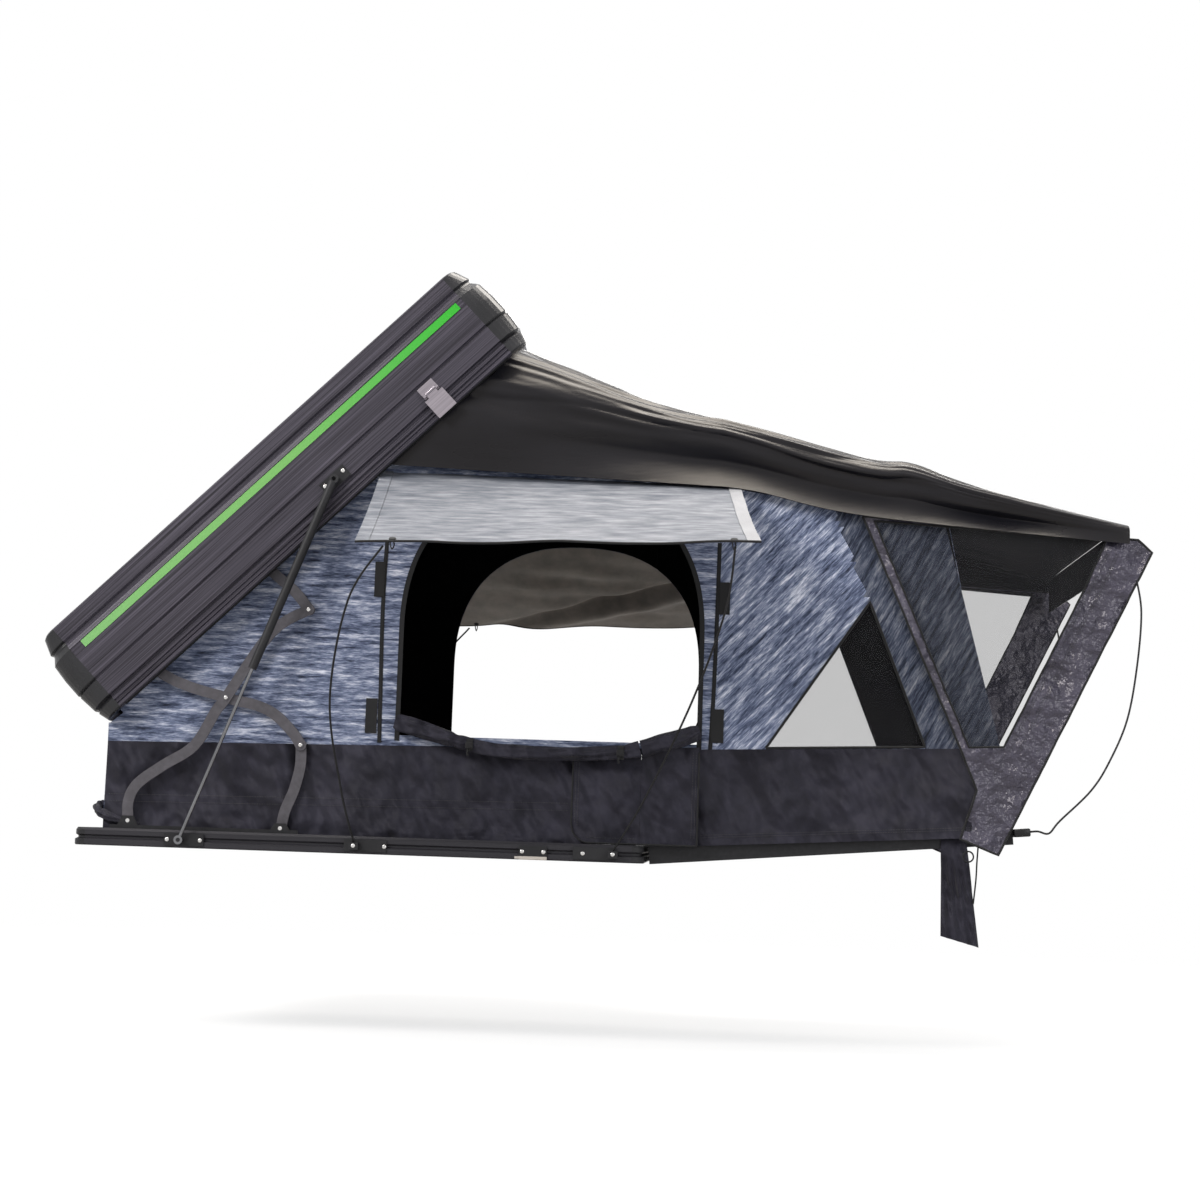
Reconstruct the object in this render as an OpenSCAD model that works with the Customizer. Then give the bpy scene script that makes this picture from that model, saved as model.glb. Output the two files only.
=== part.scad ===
// Roof top tent: hard lid on crossing arms, fold-out floor, cloth body.
// +X runs from the hinged low end to the fold-out end, +Z up, -Y near side.
// Origin: centre of the roof bolt pattern, on the underside.

/* [Base frame] */
// length of the base over its end rails
base_l = 1430; // [1300:5:1600]
// width of the base over its side rails
base_w = 1300; // [1200:5:1450]
// height of the base rail
rail_h = 44; // [38:1:52]
// thickness of the base rail
rail_w = 28; // [24:1:34]
// plan radius of the base corners
base_r = 31; // [29:1:50]
// spacing of the roof bolts along the base
bolt_x = 900; // [600:10:1100]
// spacing of the roof bolts across the base
bolt_y = 800; // [600:10:1000]
// diameter of the roof bolt holes
bolt_d = 9; // [8.4:0.1:10.5]

/* [Lid] */
// length of the lid
lid_l = 1421; // [1300:5:1580]
// depth of the lid
lid_h = 268; // [250:1:300]
// tilt of the open lid
lid_tilt = 44.3; // [40:0.1:46]
// rise of the lid's low corner when open
lid_rise = 269; // [250:1:290]
// shift of the lid's low corner when open
lid_shift = 65; // [50:1:80]
// plan radius of the lid corners
corner_r = 46; // [38:1:60]
// thickness of the lid's top panel
panel_t = 13; // [8:1:16]

/* [Lift arms] */
// width of the arm plates
arm_w = 27; // [22:1:32]
// thickness of the arm plates
arm_t = 5; // [4:0.5:5.5]
// diameter of the pivot pins
pin_d = 10; // [8:0.5:12]

/* [Gas struts] */
// diameter of the strut cylinder
strut_d = 22; // [18:1:28]
// diameter of the strut rod
strut_rod_d = 9; // [8:0.5:12]
// length of the strut cylinder
strut_body = 520; // [500:5:560]

/* [Fold-out floor] */
// length of the fold-out floor
plat_l = 905; // [800:5:960]
// inset of the fold-out floor from the base's sides
plat_in = 62; // [58:1:90]
// inset of its hinges from the fold-out floor's sides
hinge_in = 118; // [90:2:200]
// length of the bow's legs
hoop_len = 1130; // [1080:5:1135]
// rise of the open floor towards its end
plat_tilt = 5; // [3:0.1:7]
// height of the fold-out floor rail
plat_h = 51; // [44:1:56]
// diameter of the bow tube
hoop_d = 20; // [16:1:22]

/* [Cloth] */
// thickness of the cloth
cloth_t = 2; // [1:0.5:3]
// reach of the side awnings
awn_reach = 430; // [380:5:480]
// diameter of the awning rods
rod_d = 6; // [4:0.5:8]

/* [Hidden] */
$fn = 48;
xl = -base_l/2;
xr = base_l/2;
hw = base_w/2;
lid_z0 = rail_h + 2;
llx = xl + 5 + lid_shift;
llz = lid_z0 + lid_rise;
lid_w = 24;
lip_b = 41;
lid_in = hw - lid_w;
ya = lid_in - 4.4;
yb = ya - arm_t - 0.4;
yc = yb - arm_t - 0.4;
wy = yc - 15;
floor_z = 14;
floor_t = 10;
hx = xr - 55;
hz = 60;
pl0 = xr + 7 - hx;
pl1 = pl0 + plat_l;
prt = rail_h - hz;
pw = hw - plat_in;
hinge_y = pw - hinge_in;
ex = hx + pl1*cos(plat_tilt);
hpx = pl0 + 18;
hpz = 6;
hoop_rest = 52.4;
hoop_y = pw - 18;
seam_x = hx + 220;
fly_end = ex + 278;
wall_x = xl + 63;
win_l = xr - 628;
win_r = seam_x - 42;
rod_l = xr - 720;
rod_r = xr - 77;
p1 = [xl + 131, rail_h + 20];
p3 = [xl + 517, rail_h + 13];
pc = p1 + [232, 316];
p2 = p1 + [431, 545];
p4 = p3 + [40, 210];
p5 = [156.7, lid_h - panel_t - arm_w/2 - 39];
p6 = [536.7, 145];
strut_b = [xl + 272, 20];
strut_e = [828, 62];

function lidw(q) = [llx + q[0]*cos(lid_tilt) - q[1]*sin(lid_tilt),
                    llz + q[0]*sin(lid_tilt) + q[1]*cos(lid_tilt)];
function mix(a, b, u) = a + (b - a)*u;
function cr(p, q, r, s, u) = 0.5*((2*q) + (r - p)*u + (2*p - 5*q + 4*r - s)*u*u
                             + (3*q - p - 3*r + s)*u*u*u);
function curve(v, n) = let(m = len(v) - 1) concat([for (i = [0:m-1]) for (k = [0:n-1])
    cr(v[max(i-1, 0)], v[i], v[i+1], v[min(i+2, m)], k/n)], [v[m]]);
function unit(v) = v/norm(v);
function tang(c, i) = unit(c[min(i+1, len(c)-1)] - c[max(i-1, 0)]);

module both() { children(); mirror([0, 1, 0]) children(); }
module lid_place() translate([llx, 0, llz]) rotate([0, -lid_tilt, 0]) children();
module plat_place() translate([hx, 0, hz]) rotate([0, -plat_tilt, 0]) children();
module ycyl(x, z, d, y0, y1) translate([x, y1, z]) rotate([90, 0, 0]) cylinder(d = d, h = y1 - y0);
module slab(pts, y0, y1) translate([0, y1, 0]) rotate([90, 0, 0]) linear_extrude(y1 - y0) polygon(pts);
module box(x0, x1, y0, y1, z0, z1) translate([x0, y0, z0]) cube([x1 - x0, y1 - y0, z1 - z0]);

// flat bar that follows a centreline, with an eye at each end
module arm(pts, n, y0, y1, bore_a, bore_b) {
  c = curve(pts, n);
  m = len(c) - 1;
  a = [for (i = [0:m]) let(t = tang(c, i)) c[i] + [-t[1], t[0]]*arm_w/2];
  b = [for (i = [m:-1:0]) let(t = tang(c, i)) c[i] - [-t[1], t[0]]*arm_w/2];
  difference() {
    union() {
      slab(concat(a, b), y0, y1);
      for (e = [c[0], c[m]]) ycyl(e[0], e[1], arm_w + 1, y0, y1);
    }
    if (bore_a) ycyl(c[0][0], c[0][1], pin_d + 0.6, y0 - 1, y1 + 1);
    if (bore_b) ycyl(c[m][0], c[m][1], pin_d + 0.6, y0 - 1, y1 + 1);
  }
}

// closed skin between two grids of points
module skin(A, B) {
  nu = len(A);
  nv = len(A[0]);
  p = concat([for (r = A) for (q = r) q], [for (r = B) for (q = r) q]);
  o = nu*nv;
  f = concat(
    [for (i = [0:nu-2]) for (j = [0:nv-2]) each
      [[i*nv+j, (i+1)*nv+j, (i+1)*nv+j+1], [i*nv+j, (i+1)*nv+j+1, i*nv+j+1]]],
    [for (i = [0:nu-2]) for (j = [0:nv-2]) each
      [[o+i*nv+j, o+(i+1)*nv+j+1, o+(i+1)*nv+j], [o+i*nv+j, o+i*nv+j+1, o+(i+1)*nv+j+1]]],
    [for (i = [0:nu-2]) each
      [[i*nv, o+(i+1)*nv, (i+1)*nv], [i*nv, o+i*nv, o+(i+1)*nv],
       [i*nv+nv-1, (i+1)*nv+nv-1, o+(i+1)*nv+nv-1], [i*nv+nv-1, o+(i+1)*nv+nv-1, o+i*nv+nv-1]]],
    [for (j = [0:nv-2]) let(k = (nu-1)*nv) each
      [[j, j+1, o+j+1], [j, o+j+1, o+j], [k+j, o+k+j+1, k+j+1], [k+j, o+k+j, o+k+j+1]]]);
  polyhedron(p, f, convexity = 8);
}

// round rod along a space curve
module rod(v, n, d, s) {
  c = curve(v, n);
  m = len(c) - 1;
  up = [0.31, 0.22, 0.93];
  pts = [for (i = [0:m]) let(t = tang(c, i), e = unit(cross(t, up)), g = cross(t, e))
    for (k = [0:s-1]) c[i] + (e*cos(360*k/s) + g*sin(360*k/s))*d/2];
  f = concat([[for (k = [0:s-1]) k]], [[for (k = [0:s-1]) m*s + s-1-k]],
    [for (i = [0:m-1]) for (k = [0:s-1]) let(k1 = (k+1) % s) each
      [[i*s+k, (i+1)*s+k1, i*s+k1], [i*s+k, (i+1)*s+k, (i+1)*s+k1]]]);
  polyhedron(pts, f, convexity = 6);
}

// outside section of the base rail: distance in from the side, height
function rail_pts() = [[2, 0], [0, 3], [0, 15], [8, 19], [8, 23], [2, 27], [2, rail_h - 6],
  [6, rail_h], [rail_w, rail_h], [rail_w, 0]];
// outside section of the lid's side: distance in from the side, height
function lid_pts(b0 = 0) = concat(b0 > 0 ? [[9, b0 - 1]] :
  [[6, 0], [2, 3], [2, 9], [6, 12], [3, 15], [3, 20], [6, 22], [2, 25], [2, 32], [9, 36]],
  [[9, 41], [1, 44], [1, 92], [5, 94.5], [5, 98], [0, 101], [0, 172], [1.5, 173], [1.5, 195],
   [0, 196], [6, 208], [12, 214], [14, 216], [14, 221], [8, 226], [8, lid_h - 4], [12, lid_h],
   [lid_w, lid_h], [lid_w, b0]]);

// how far the lid's ends bow out at a height
function bow(b) = lookup(b, [[0, 6], [40, 17], [96, 23], [154, 23], [226, 16], [250, 8], [lid_h, 0]]);
function bow_pts(pts) = [for (i = [0:len(pts)-1]) i < len(pts) - 2 ? pts[i] - [bow(pts[i][1]), 0] : pts[i]];
cap_pts = [[6, 0], [2, 4], [2, 30], [9, 38], [1, 44], [1, 92], [5, 96], [0, 101], [0, 150], [0, 196],
  [12, 214], [14, 221], [8, 226], [8, lid_h - 4], [12, lid_h]];
// corner of the lid: a quarter turn that swells towards the end
module lid_cap() {
  n = 7;
  A = [for (i = [0:n]) let(t = 90*i/n) [for (p = cap_pts)
    [corner_r - (corner_r - p[0])*cos(t) - bow(p[1])*cos(t), -hw + corner_r - (corner_r - p[0])*sin(t), p[1]]]];
  B = [for (i = [0:n]) let(t = 90*i/n) [for (p = cap_pts)
    [corner_r - (corner_r - lid_w)*cos(t), -hw + corner_r - (corner_r - lid_w)*sin(t), p[1]]]];
  skin(B, A);
}

module prof_x(pts, x0, x1) // section with its outside on the near side, drawn along x
  translate([x0, -hw, 0]) rotate([90, 0, 90]) linear_extrude(x1 - x0) polygon(pts);
module prof_corner(pts, x, r, q) // quarter turn about a corner centre
  translate([x, -(hw - r), 0]) rotate([0, 0, q]) rotate_extrude(angle = 90)
    polygon([for (p = pts) [r - p[0], p[1]]]);

module mount_rails() color("dimgray") both() difference() {
  box(xl + rail_w, xr - rail_w, -bolt_y/2 - 20, -bolt_y/2 + 20, 0, floor_z);
  for (s = [-1, 1]) translate([s*bolt_x/2, -bolt_y/2, -1]) cylinder(d = bolt_d, h = floor_z + 2);
}
module base_side_rails() color("dimgray") both() prof_x(rail_pts(), xl + base_r, xr - base_r);
module base_end_rails() color("dimgray") {
  translate([xl, 0, 0]) rotate([90, 0, 0]) linear_extrude(base_w - 2*base_r, center = true)
    polygon(rail_pts());
  mirror([1, 0, 0]) translate([xl, 0, 0]) rotate([90, 0, 0])
    linear_extrude(base_w - 2*base_r, center = true) polygon(rail_pts());
}
module base_corner_caps() color("black") both() {
  prof_corner(rail_pts(), xl + base_r, base_r, 180);
  prof_corner(rail_pts(), xr - base_r, base_r, 270);
}
module base_floor() color("gray")
  box(xl + rail_w, xr - rail_w, -wy - 4, wy + 4, floor_z, floor_z + floor_t);
module crown(x0, x1, yh, z0, z1, nu, nv) {
  T = [for (i = [0:nu]) [for (j = [0:nv]) let(u = i/nu, v = j/nv,
    e = min(1, 9*min(u, 1-u))*min(1, 9*min(v, 1-v)), ch = 1.2*(1 - cos(360*4*u)))
    [mix(x0, x1, u), mix(-yh, yh, v), z0 + (z1 - z0)*(0.55 + 0.45*sin(90*e)) - ch*e]]];
  skin([for (r = T) [for (q = r) [q[0], q[1], z0]]], T);
}
module base_mattress() color("slategray")
  crown(xl + 235, hx - 45, wy - 44, floor_z + floor_t, 56, 18, 10);
module plate_ear(x, z) slab([[x - 30, rail_h], [x + 30, rail_h], [x + 14, z + 12], [x - 14, z + 12]],
  -lid_in + 0.4, -lid_in + 4);
module arm_base_plates() color("black") both() difference() {
  union() {
    box(p1[0] - 45, p3[0] + 45, -lid_in + 0.4, -lid_in + 4, rail_h, rail_h + 9);
    for (p = [p1, p3]) plate_ear(p[0], p[1]);
  }
  for (p = [p1, p3]) ycyl(p[0], p[1], pin_d, -lid_in - 1, -lid_in + 5);
}
module pin_in(p, y_end) { // pin with an outer head, from the ear to the arm's far face
  ycyl(p[0], p[1], pin_d, -lid_in + 0.4, -y_end + 2);
  ycyl(p[0], p[1], pin_d + 6, -y_end + 0.3, -y_end + 2.8);
}
module base_pivot_pins() color("silver") both() {
  pin_in(p1, ya - arm_t);
  pin_in(p3, yc - arm_t);
}
module strut_base_brackets() color("black") both() {
  box(strut_b[0] - 40, strut_b[0] + 60, -hw - 4, -hw, 6, 36);
  ycyl(strut_b[0], strut_b[1], 10, -hw - 24, -hw - 3);
}
module socket(x, block) { // plate, and the block its rod stands in
  box(x - 16, x + 90, -hw - 4, -hw, 6, 36);
  box(block - 12, block + 12, -hw - 24, -hw - 4, 10, 28);
}
module rod_sockets() color("black") both() { socket(xr - 730, rod_l); socket(xr - 160, rod_r); }
module latch_keepers() color("silver") both() {
  box(xr - 310, xr - 241, -hw - 4, -hw, 0, 34);
  box(xr - 320, xr - 240, -hw - 10, -hw - 4, 2, 8);
}
module base_bolts() color("lightgray") both() {
  for (x = [strut_b[0] - 32, strut_b[0] + 51, xr - 645, xr - 152, xr - 302, xr - 249])
    ycyl(x, 20, 10, -hw - 5.6, -hw - 4);
  for (x = [rod_l, rod_r]) ycyl(x, 20, 10, -hw - 27, -hw - 24);
}
module hinge_blocks() color("dimgray") both() difference() {
  for (y = [-hinge_y, -hinge_y + 30]) box(hx - 16, hx + 16, y, y + 10, floor_z + floor_t, hz + 14);
  ycyl(hx, hz, 10, -hinge_y - 1, -hinge_y + 41);
}
module hinge_pins() color("silver") both() {
  ycyl(hx, hz, 10, -hinge_y, -hinge_y + 40);
  ycyl(hx, hz, 16, -hinge_y - 4, -hinge_y);
  ycyl(hx, hz, 16, -hinge_y + 40, -hinge_y + 44);
}

// cloth of the base
win_spring = 560;
win_rise = 385;
win_pow = 2/2.4;
function win_arch(a) = [(win_l + win_r)/2 + (win_r - win_l)/2*sign(cos(a))*pow(abs(cos(a)), win_pow),
  win_spring + win_rise*pow(sin(a), win_pow)];
win_pts = concat([[win_l, 300]], [for (a = [180:-7.5:0]) win_arch(a)], [[win_r, 300]]);
module wall() difference() {
  slab([[wall_x, 250], [wall_x, llz - 8], lidw([34, -5]), lidw([34, 28]),
    lidw([940, 28]), [seam_x, 985], [seam_x, 275]], -wy, -wy + cloth_t);
  slab(win_pts, -wy - 1, -wy + cloth_t + 1);
}
module wall_near() color("slateblue") wall();
module wall_far() color("slateblue") mirror([0, 1, 0]) wall();
flap_x = hx - 130;
flap_e = hx + 184;
module skirt() {
  n = 30;
  A = [for (i = [0:n]) let(x = mix(wall_x, flap_x, i/n)) [for (k = [0:3])
    [x, -wy - 3 - (k < 3 ? 2.4*sin(x*1.9)*sin(60*k) : 0),
     mix(floor_z + floor_t + 0.3, 268 + 0.015*(x + 300), k/3)]]];
  skin([for (r = A) [for (q = r) q + [0, cloth_t, 0]]], A);
}
module skirts() color("black") both() skirt();
module skirt_flap() {
  n = 14;
  A = [for (i = [0:n]) let(x = mix(flap_x + 0.3, flap_e, i/n)) [for (k = [0:4])
    [x, -wy - 6 - 5*sin(x*1.7 + 20*k)*sin(40*k) - 8*(4-k)/4,
     mix(rail_h + 3, 277 + 0.05*(x - flap_x), k/4)]]];
  skin([for (r = A) [for (q = r) q + [0, cloth_t, 0]]], A);
}
module skirt_flaps() color("black") both() skirt_flap();
module end_wall_low() color("slateblue")
  box(wall_x - cloth_t, wall_x, -wy + cloth_t, wy - cloth_t, floor_z + floor_t + 0.3, llz - 4);

// roof cloth: fold-out side of the lid, to the seam, then to the end
function ztop(x) = lookup(x - hx, [[-286, 1300], [8, 1214], [220, 1151], [592, 1057], [700, 1046],
  [868, 986], [1241, 894]]);
function zlow(x) = lookup(x - hx, [[-626, 974], [-87, 958], [263, 947], [578, 887], [1241, 833]]);
fly_y = wy + 34;
fly_box = 0.3;
function fy(t) = fly_y*sign(t)*pow(abs(sin(90*t)), fly_box);
function ff(t) = pow(max(0, cos(90*t)), fly_box);
function roof_z(x, y) = mix(zlow(x), ztop(x), pow(1 - pow(abs(y)/fly_y, 2/fly_box), fly_box/2));
function fly_f(u, t, s) = let(f = ff(t), b = [seam_x, mix(zlow(seam_x), ztop(seam_x), f)],
    a = lidw([mix(960, lid_l + 8, f), mix(-2, lip_b - 6, max(0, 4*f - 3))]))
  [mix(a[0], b[0], u), fy(t)*(1 - s/600), mix(a[1], b[1], u) - s
   + 5*f*sin(540*u + 200*t)*sin(180*u)];
function fly_r(u, t, s) = let(f = ff(t), x = mix(seam_x + 0.3, fly_end, u))
  [x, fy(t)*(1 - s/600), mix(zlow(x), ztop(x), f) - s + 4*f*f*sin(760*u + 150*t)*sin(180*u)];
tt = [for (k = [-12:12]) sin(90*k/12)];
module fly_front() color("black")
  skin([for (i = [0:10]) [for (t = tt) fly_f(i/10, t, 3)]],
    [for (i = [0:10]) [for (t = tt) fly_f(i/10, t, 0)]]);
valance_z = 785;
module fly_rear() color("black") {
  skin([for (i = [0:14]) [for (t = tt) fly_r(i/14, t, 3)]],
    [for (i = [0:14]) [for (t = tt) fly_r(i/14, t, 0)]]);
  x = fly_end - 4;
  under = [for (t = tt) if (abs(fy(t)) < wy - 6) [fy(t), mix(zlow(x), ztop(x), ff(t)) - 4]];
  m = len(under) - 1;
  translate([x, 0, 0]) rotate([90, 0, 90]) linear_extrude(cloth_t)
    polygon(concat([[under[0][0], valance_z]], under, [[under[m][0], valance_z]]));
}

function awn_x(u, v) = mix(mix(win_l - 74, win_l - 66, v), mix(win_r + 90, win_r + 136, v), u);
function awn(u, v, s) = [awn_x(u, v), -wy - 0.4 - awn_reach*v, mix(mix(971, 956, u), mix(733, 758, u), v)
  - s - 2*sin(180*u)*v*v - 10*sin(180*v) + 2*sin(900*u)*v];
module awning() skin([for (i = [0:16]) [for (j = [0:7]) awn(i/16, j/7, 0)]],
  [for (i = [0:16]) [for (j = [0:7]) awn(i/16, j/7, 3)]]);
module awning_near() color("lightgray") awning();
module awning_far() color("lightgray") mirror([0, 1, 0]) awning();
module awn_rods() {
  rod([[rod_l, -hw - 15, 28.4], [xr - 748, -hw - 80, 160], [xr - 767, -hw - 190, 371],
    [xr - 715, -hw - 310, 600], [win_l - 1, -wy + 10 - awn_reach, 726]], 4, rod_d, 8);
  rod([[rod_r, -hw - 15, 28.4], [xr, -hw - 80, 160], [xr + 107, -hw - 200, 390],
    [xr + 180, -hw - 310, 600], [win_r + 76, -wy + 10 - awn_reach, 748]], 4, rod_d, 8);
}
module awning_rods() color("black") both() awn_rods();
module roll() rod([[win_l - 8, -wy - 19.6, 332], [win_l + 105, -wy - 26, 303],
  [win_l + 235, -wy - 32, 270], [win_l + 405, -wy - 35, 266], [win_r - 180, -wy - 36, 274],
  [win_r - 70, -wy - 33, 306], [win_r + 4, -wy - 19.6, 332]], 3, 40, 10);
module window_rolls() color("black") both() roll();

// lid, drawn closed at its low corner and tilted into place
module lid_sides() color("dimgray") lid_place() both() prof_x(lid_pts(), corner_r, lid_l - corner_r);
module lid_ends() color("dimgray") lid_place() {
  rotate([90, 0, 0]) linear_extrude(base_w - 2*corner_r, center = true) polygon(bow_pts(lid_pts()));
  translate([lid_l, 0, 0]) mirror([1, 0, 0]) rotate([90, 0, 0])
    linear_extrude(base_w - 2*corner_r, center = true) polygon(bow_pts(lid_pts(lip_b)));
}
module lid_corner_caps() color("black") lid_place() both() {
  lid_cap();
  translate([lid_l, 0, 0]) mirror([1, 0, 0]) lid_cap();
}
module lid_panel() color("gray") lid_place() translate([0, 0, lid_h - panel_t]) linear_extrude(panel_t) {
  translate([lid_w, -hw + corner_r]) square([lid_l - 2*lid_w, base_w - 2*corner_r]);
  translate([corner_r, -lid_in]) square([lid_l - 2*corner_r, 2*lid_in]);
  for (x = [corner_r, lid_l - corner_r]) for (y = [-hw + corner_r, hw - corner_r])
    translate([x, y]) circle(r = corner_r - lid_w - 0.3);
}
module lid_stripes() color("limegreen") lid_place() both()
  box(80, lid_l - 64, -hw + 0.3, -hw + 1.5, 174, 194);
module lid_seal() color("black") lid_place() both()
  box(60, lid_l - 60, -hw + 7, -hw + 22, -1.6, 0);
module lid_arm_brackets() color("black") lid_place() both() difference() {
  union() {
    box(p5[0] - 40, p5[0] + 40, -lid_in, -lid_in + 4, p5[1] - 60, lid_h - panel_t);
    box(p6[0] - 40, p6[0] + 40, -lid_in, -lid_in + 4, p6[1] - 20, lid_h - panel_t);
  }
  for (p = [p5, p6]) ycyl(p[0], p[1], pin_d, -lid_in - 1, -lid_in + 5);
}
module lid_pivot_pins() color("silver") lid_place() both() {
  pin_in(p5, yb - arm_t);
  pin_in(p6, yc - arm_t);
}
module lid_strut_brackets() color("black") lid_place() both() {
  box(strut_e[0] - 40, strut_e[0] + 40, -hw - 3, -hw + 1, 45, 79);
  ycyl(strut_e[0], strut_e[1], 10, -hw - 9, -hw - 2);
}
module lid_bolts() color("lightgray") lid_place() both()
  for (x = [strut_e[0] - 30, strut_e[0] + 30]) ycyl(x, strut_e[1] + 4, 10, -hw - 6, -hw - 3);
latch_a = lid_l - 264;
latch_b = 66;
module latch_bases() color("silver") lid_place() both() {
  box(latch_a - 24, latch_a + 24, -hw - 3, -hw + 1, latch_b - 8, latch_b + 25);
  for (s = [-1, 1]) box(latch_a + s*20 - 4, latch_a + s*20 + 4, -hw - 12, -hw - 3, latch_b - 5, latch_b + 5);
  translate([latch_a - 24, -hw - 9, latch_b]) rotate([0, 90, 0]) cylinder(d = 4, h = 48);
}
module lever() lid_place() difference() {
  union() {
    translate([latch_a - 15, -hw - 9, latch_b]) rotate([0, 90, 0]) cylinder(d = 9, h = 30);
    box(latch_a - 15, latch_a + 15, -hw - 11, -hw - 7, latch_b - 15, latch_b);
    box(latch_a - 29, latch_a + 29, -hw - 11, -hw - 7, latch_b - 69, latch_b - 13);
  }
  translate([latch_a - 24, -hw - 9, latch_b]) rotate([0, 90, 0]) cylinder(d = 4.6, h = 48);
}
module latch_lever_near() color("silver") lever();
module latch_lever_far() color("silver") mirror([0, 1, 0]) lever();

// lift arms, drawn open
module rivet(p, y0) ycyl(p[0], p[1], pin_d + 6, -y0 - 1.5, -y0);
module long_arms() color("dimgray") both() {
  arm([p1, p1 + [-2, 48], p1 + [19, 93], p1 + [82, 141], p1 + [158, 193], p1 + [208, 282], pc,
    p1 + [339, 484], p2], 5, -ya, -ya + arm_t, true, false);
  for (p = [pc, p2]) rivet(p, ya);
}
module cross_arms() color("dimgray") both() {
  arm([lidw(p5), pc + [-164, 54], pc, pc + [75, -16], pc + [126, -39], pc + [172, -82], p4], 5,
    -yb, -yb + arm_t, true, false);
  rivet(p4, yb);
}
module top_links() color("dimgray") both()
  arm([lidw(p6), p2 + [-92, 89], p2 + [-38, 45], p2], 5, -yc, -yc + arm_t, true, false);
module base_links() color("dimgray") both()
  arm([p3, p3 + [7, 42], p3 + [28, 98], p3 + [41, 158], p4], 5, -yc, -yc + arm_t, true, false);

// gas struts, drawn along their open line
strut_top = lidw(strut_e);
strut_ang = atan2(strut_top[1] - strut_b[1], strut_top[0] - strut_b[0]);
strut_len = norm(strut_top - strut_b);
module strut_place() translate([strut_b[0], -hw - 17, strut_b[1]]) rotate([0, 90 - strut_ang, 0]) children();
module strut_rods() color("silver") both() strut_place() {
  difference() {
    rotate([90, 0, 0]) cylinder(d = 22, h = 12, center = true);
    rotate([90, 0, 0]) cylinder(d = 10.6, h = 14, center = true);
  }
  translate([0, 0, 10]) cylinder(d = strut_rod_d, h = strut_len - strut_body + 20);
}
module strut_cylinders() color("black") both() strut_place() difference() {
  union() {
    translate([0, 0, strut_len - strut_body]) cylinder(d = strut_d, h = strut_body - 8);
    translate([0, 0, strut_len]) rotate([90, 0, 0]) cylinder(d = 24, h = 12, center = true);
  }
  translate([0, 0, strut_len - strut_body - 1]) cylinder(d = strut_rod_d + 1, h = strut_body - 35);
  translate([0, 6, strut_len]) rotate([90, 0, 0]) cylinder(d = 11, h = 3.5);
  translate([0, 7, strut_len]) rotate([90, 0, 0]) cylinder(d = 11, h = 14);
}

// fold-out floor, drawn level about its hinge line and tilted into place
module floor_side_rails() color("black") plat_place() both()
  box(pl0 + 28, pl1 - 28, -pw, -pw + 28, prt - plat_h, prt);
module floor_end_rails() color("black") plat_place() {
  box(pl0, pl0 + 28, -pw, pw, prt - plat_h, prt);
  box(pl1 - 28, pl1, -pw, pw, prt - plat_h, prt);
}
module floor_panel() color("gray") plat_place()
  box(pl0 + 28, pl1 - 28, -pw + 28, pw - 28, prt - 24, prt - 14);
module floor_mattress() color("slategray") plat_place()
  crown(pl0 + 34, pl1 - 40, pw - 38, prt - 14, -5, 14, 8);
module hinge_leaves() color("dimgray") plat_place() both() {
  difference() {
    union() {
      ycyl(0, 0, 24, -hinge_y + 11, -hinge_y + 29);
      box(-6, pl0 + 28, -hinge_y + 11, -hinge_y + 29, prt, prt + 8);
      box(-12, 12, -hinge_y + 11, -hinge_y + 29, prt + 2, 0);
    }
    ycyl(0, 0, 10.6, -hinge_y + 10, -hinge_y + 30);
  }
}
module hoop_pivots() color("dimgray") plat_place() both() {
  box(hpx - 15, hpx + 15, -pw, -pw + 5, prt, hpz + 14);
  ycyl(hpx, hpz, 8, -pw, -hoop_y + 6);
}
hp = [hx + hpx*cos(plat_tilt) - hpz*sin(plat_tilt), hz + hpx*sin(plat_tilt) + hpz*cos(plat_tilt)];
hoop_r = 110;
module hoop() color("silver") translate([hp[0], 0, hp[1]]) rotate([0, 90 - hoop_rest, 0]) {
  both() {
    difference() {
      union() {
        translate([0, -hoop_y, 0]) cylinder(d = hoop_d, h = hoop_len - hoop_r);
        ycyl(0, 0, hoop_d + 4, -hoop_y - 9, -hoop_y + 9);
      }
      ycyl(0, 0, 8.8, -hoop_y - 20, -hoop_y + 7);
    }
    translate([0, -hoop_y + hoop_r, hoop_len - hoop_r]) rotate([0, -90, 0]) rotate([0, 0, 270])
      rotate_extrude(angle = 90) translate([hoop_r, 0]) circle(d = hoop_d);
  }
  ycyl(0, hoop_len, hoop_d, -hoop_y + hoop_r, hoop_y - hoop_r);
}
module end_rods() color("black") both() {
  rod([[ex + 27, -wy - 20, 108], [ex + 60, -wy - 20, 112], [ex + 88, -wy - 21, 108],
    [ex + 114, -wy - 23, 139], [ex + 190, -wy - 26, 217], [ex + 236, -wy - 27, 294], [ex + 277, -wy - 27, 397],
    [ex + 300, -wy - 26, 531], [ex + 310, -wy - 22, 662], [ex + 299, -wy - 16.7, 744]], 3, rod_d - 1, 8);
  plat_place() box(pl1, pl1 + 40, -wy - 26, -pw + 40, prt - 33, prt - 12.8);
}
tri = [[hx + 350, 297], [hx + 602, 672], [ex - 218, 312]];
module annex_walls() color("slateblue") both() difference() {
  slab([[seam_x + 2, 285], [seam_x + 2, 985], [hx + 585, 930], [ex - 178, 900], [ex - 31, 315]],
    -wy, -wy + cloth_t);
  slab(tri, -wy - 1, -wy + cloth_t + 1);
}
function end_x(k) = mix(ex - 185, ex - 23, k);
function end_p(k, v, d) = let(y = v*(wy - cloth_t - 0.5), top = roof_z(ex - 185, y) - 12)
  [end_x(k) + d, y, mix(top, 129, k)];
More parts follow.
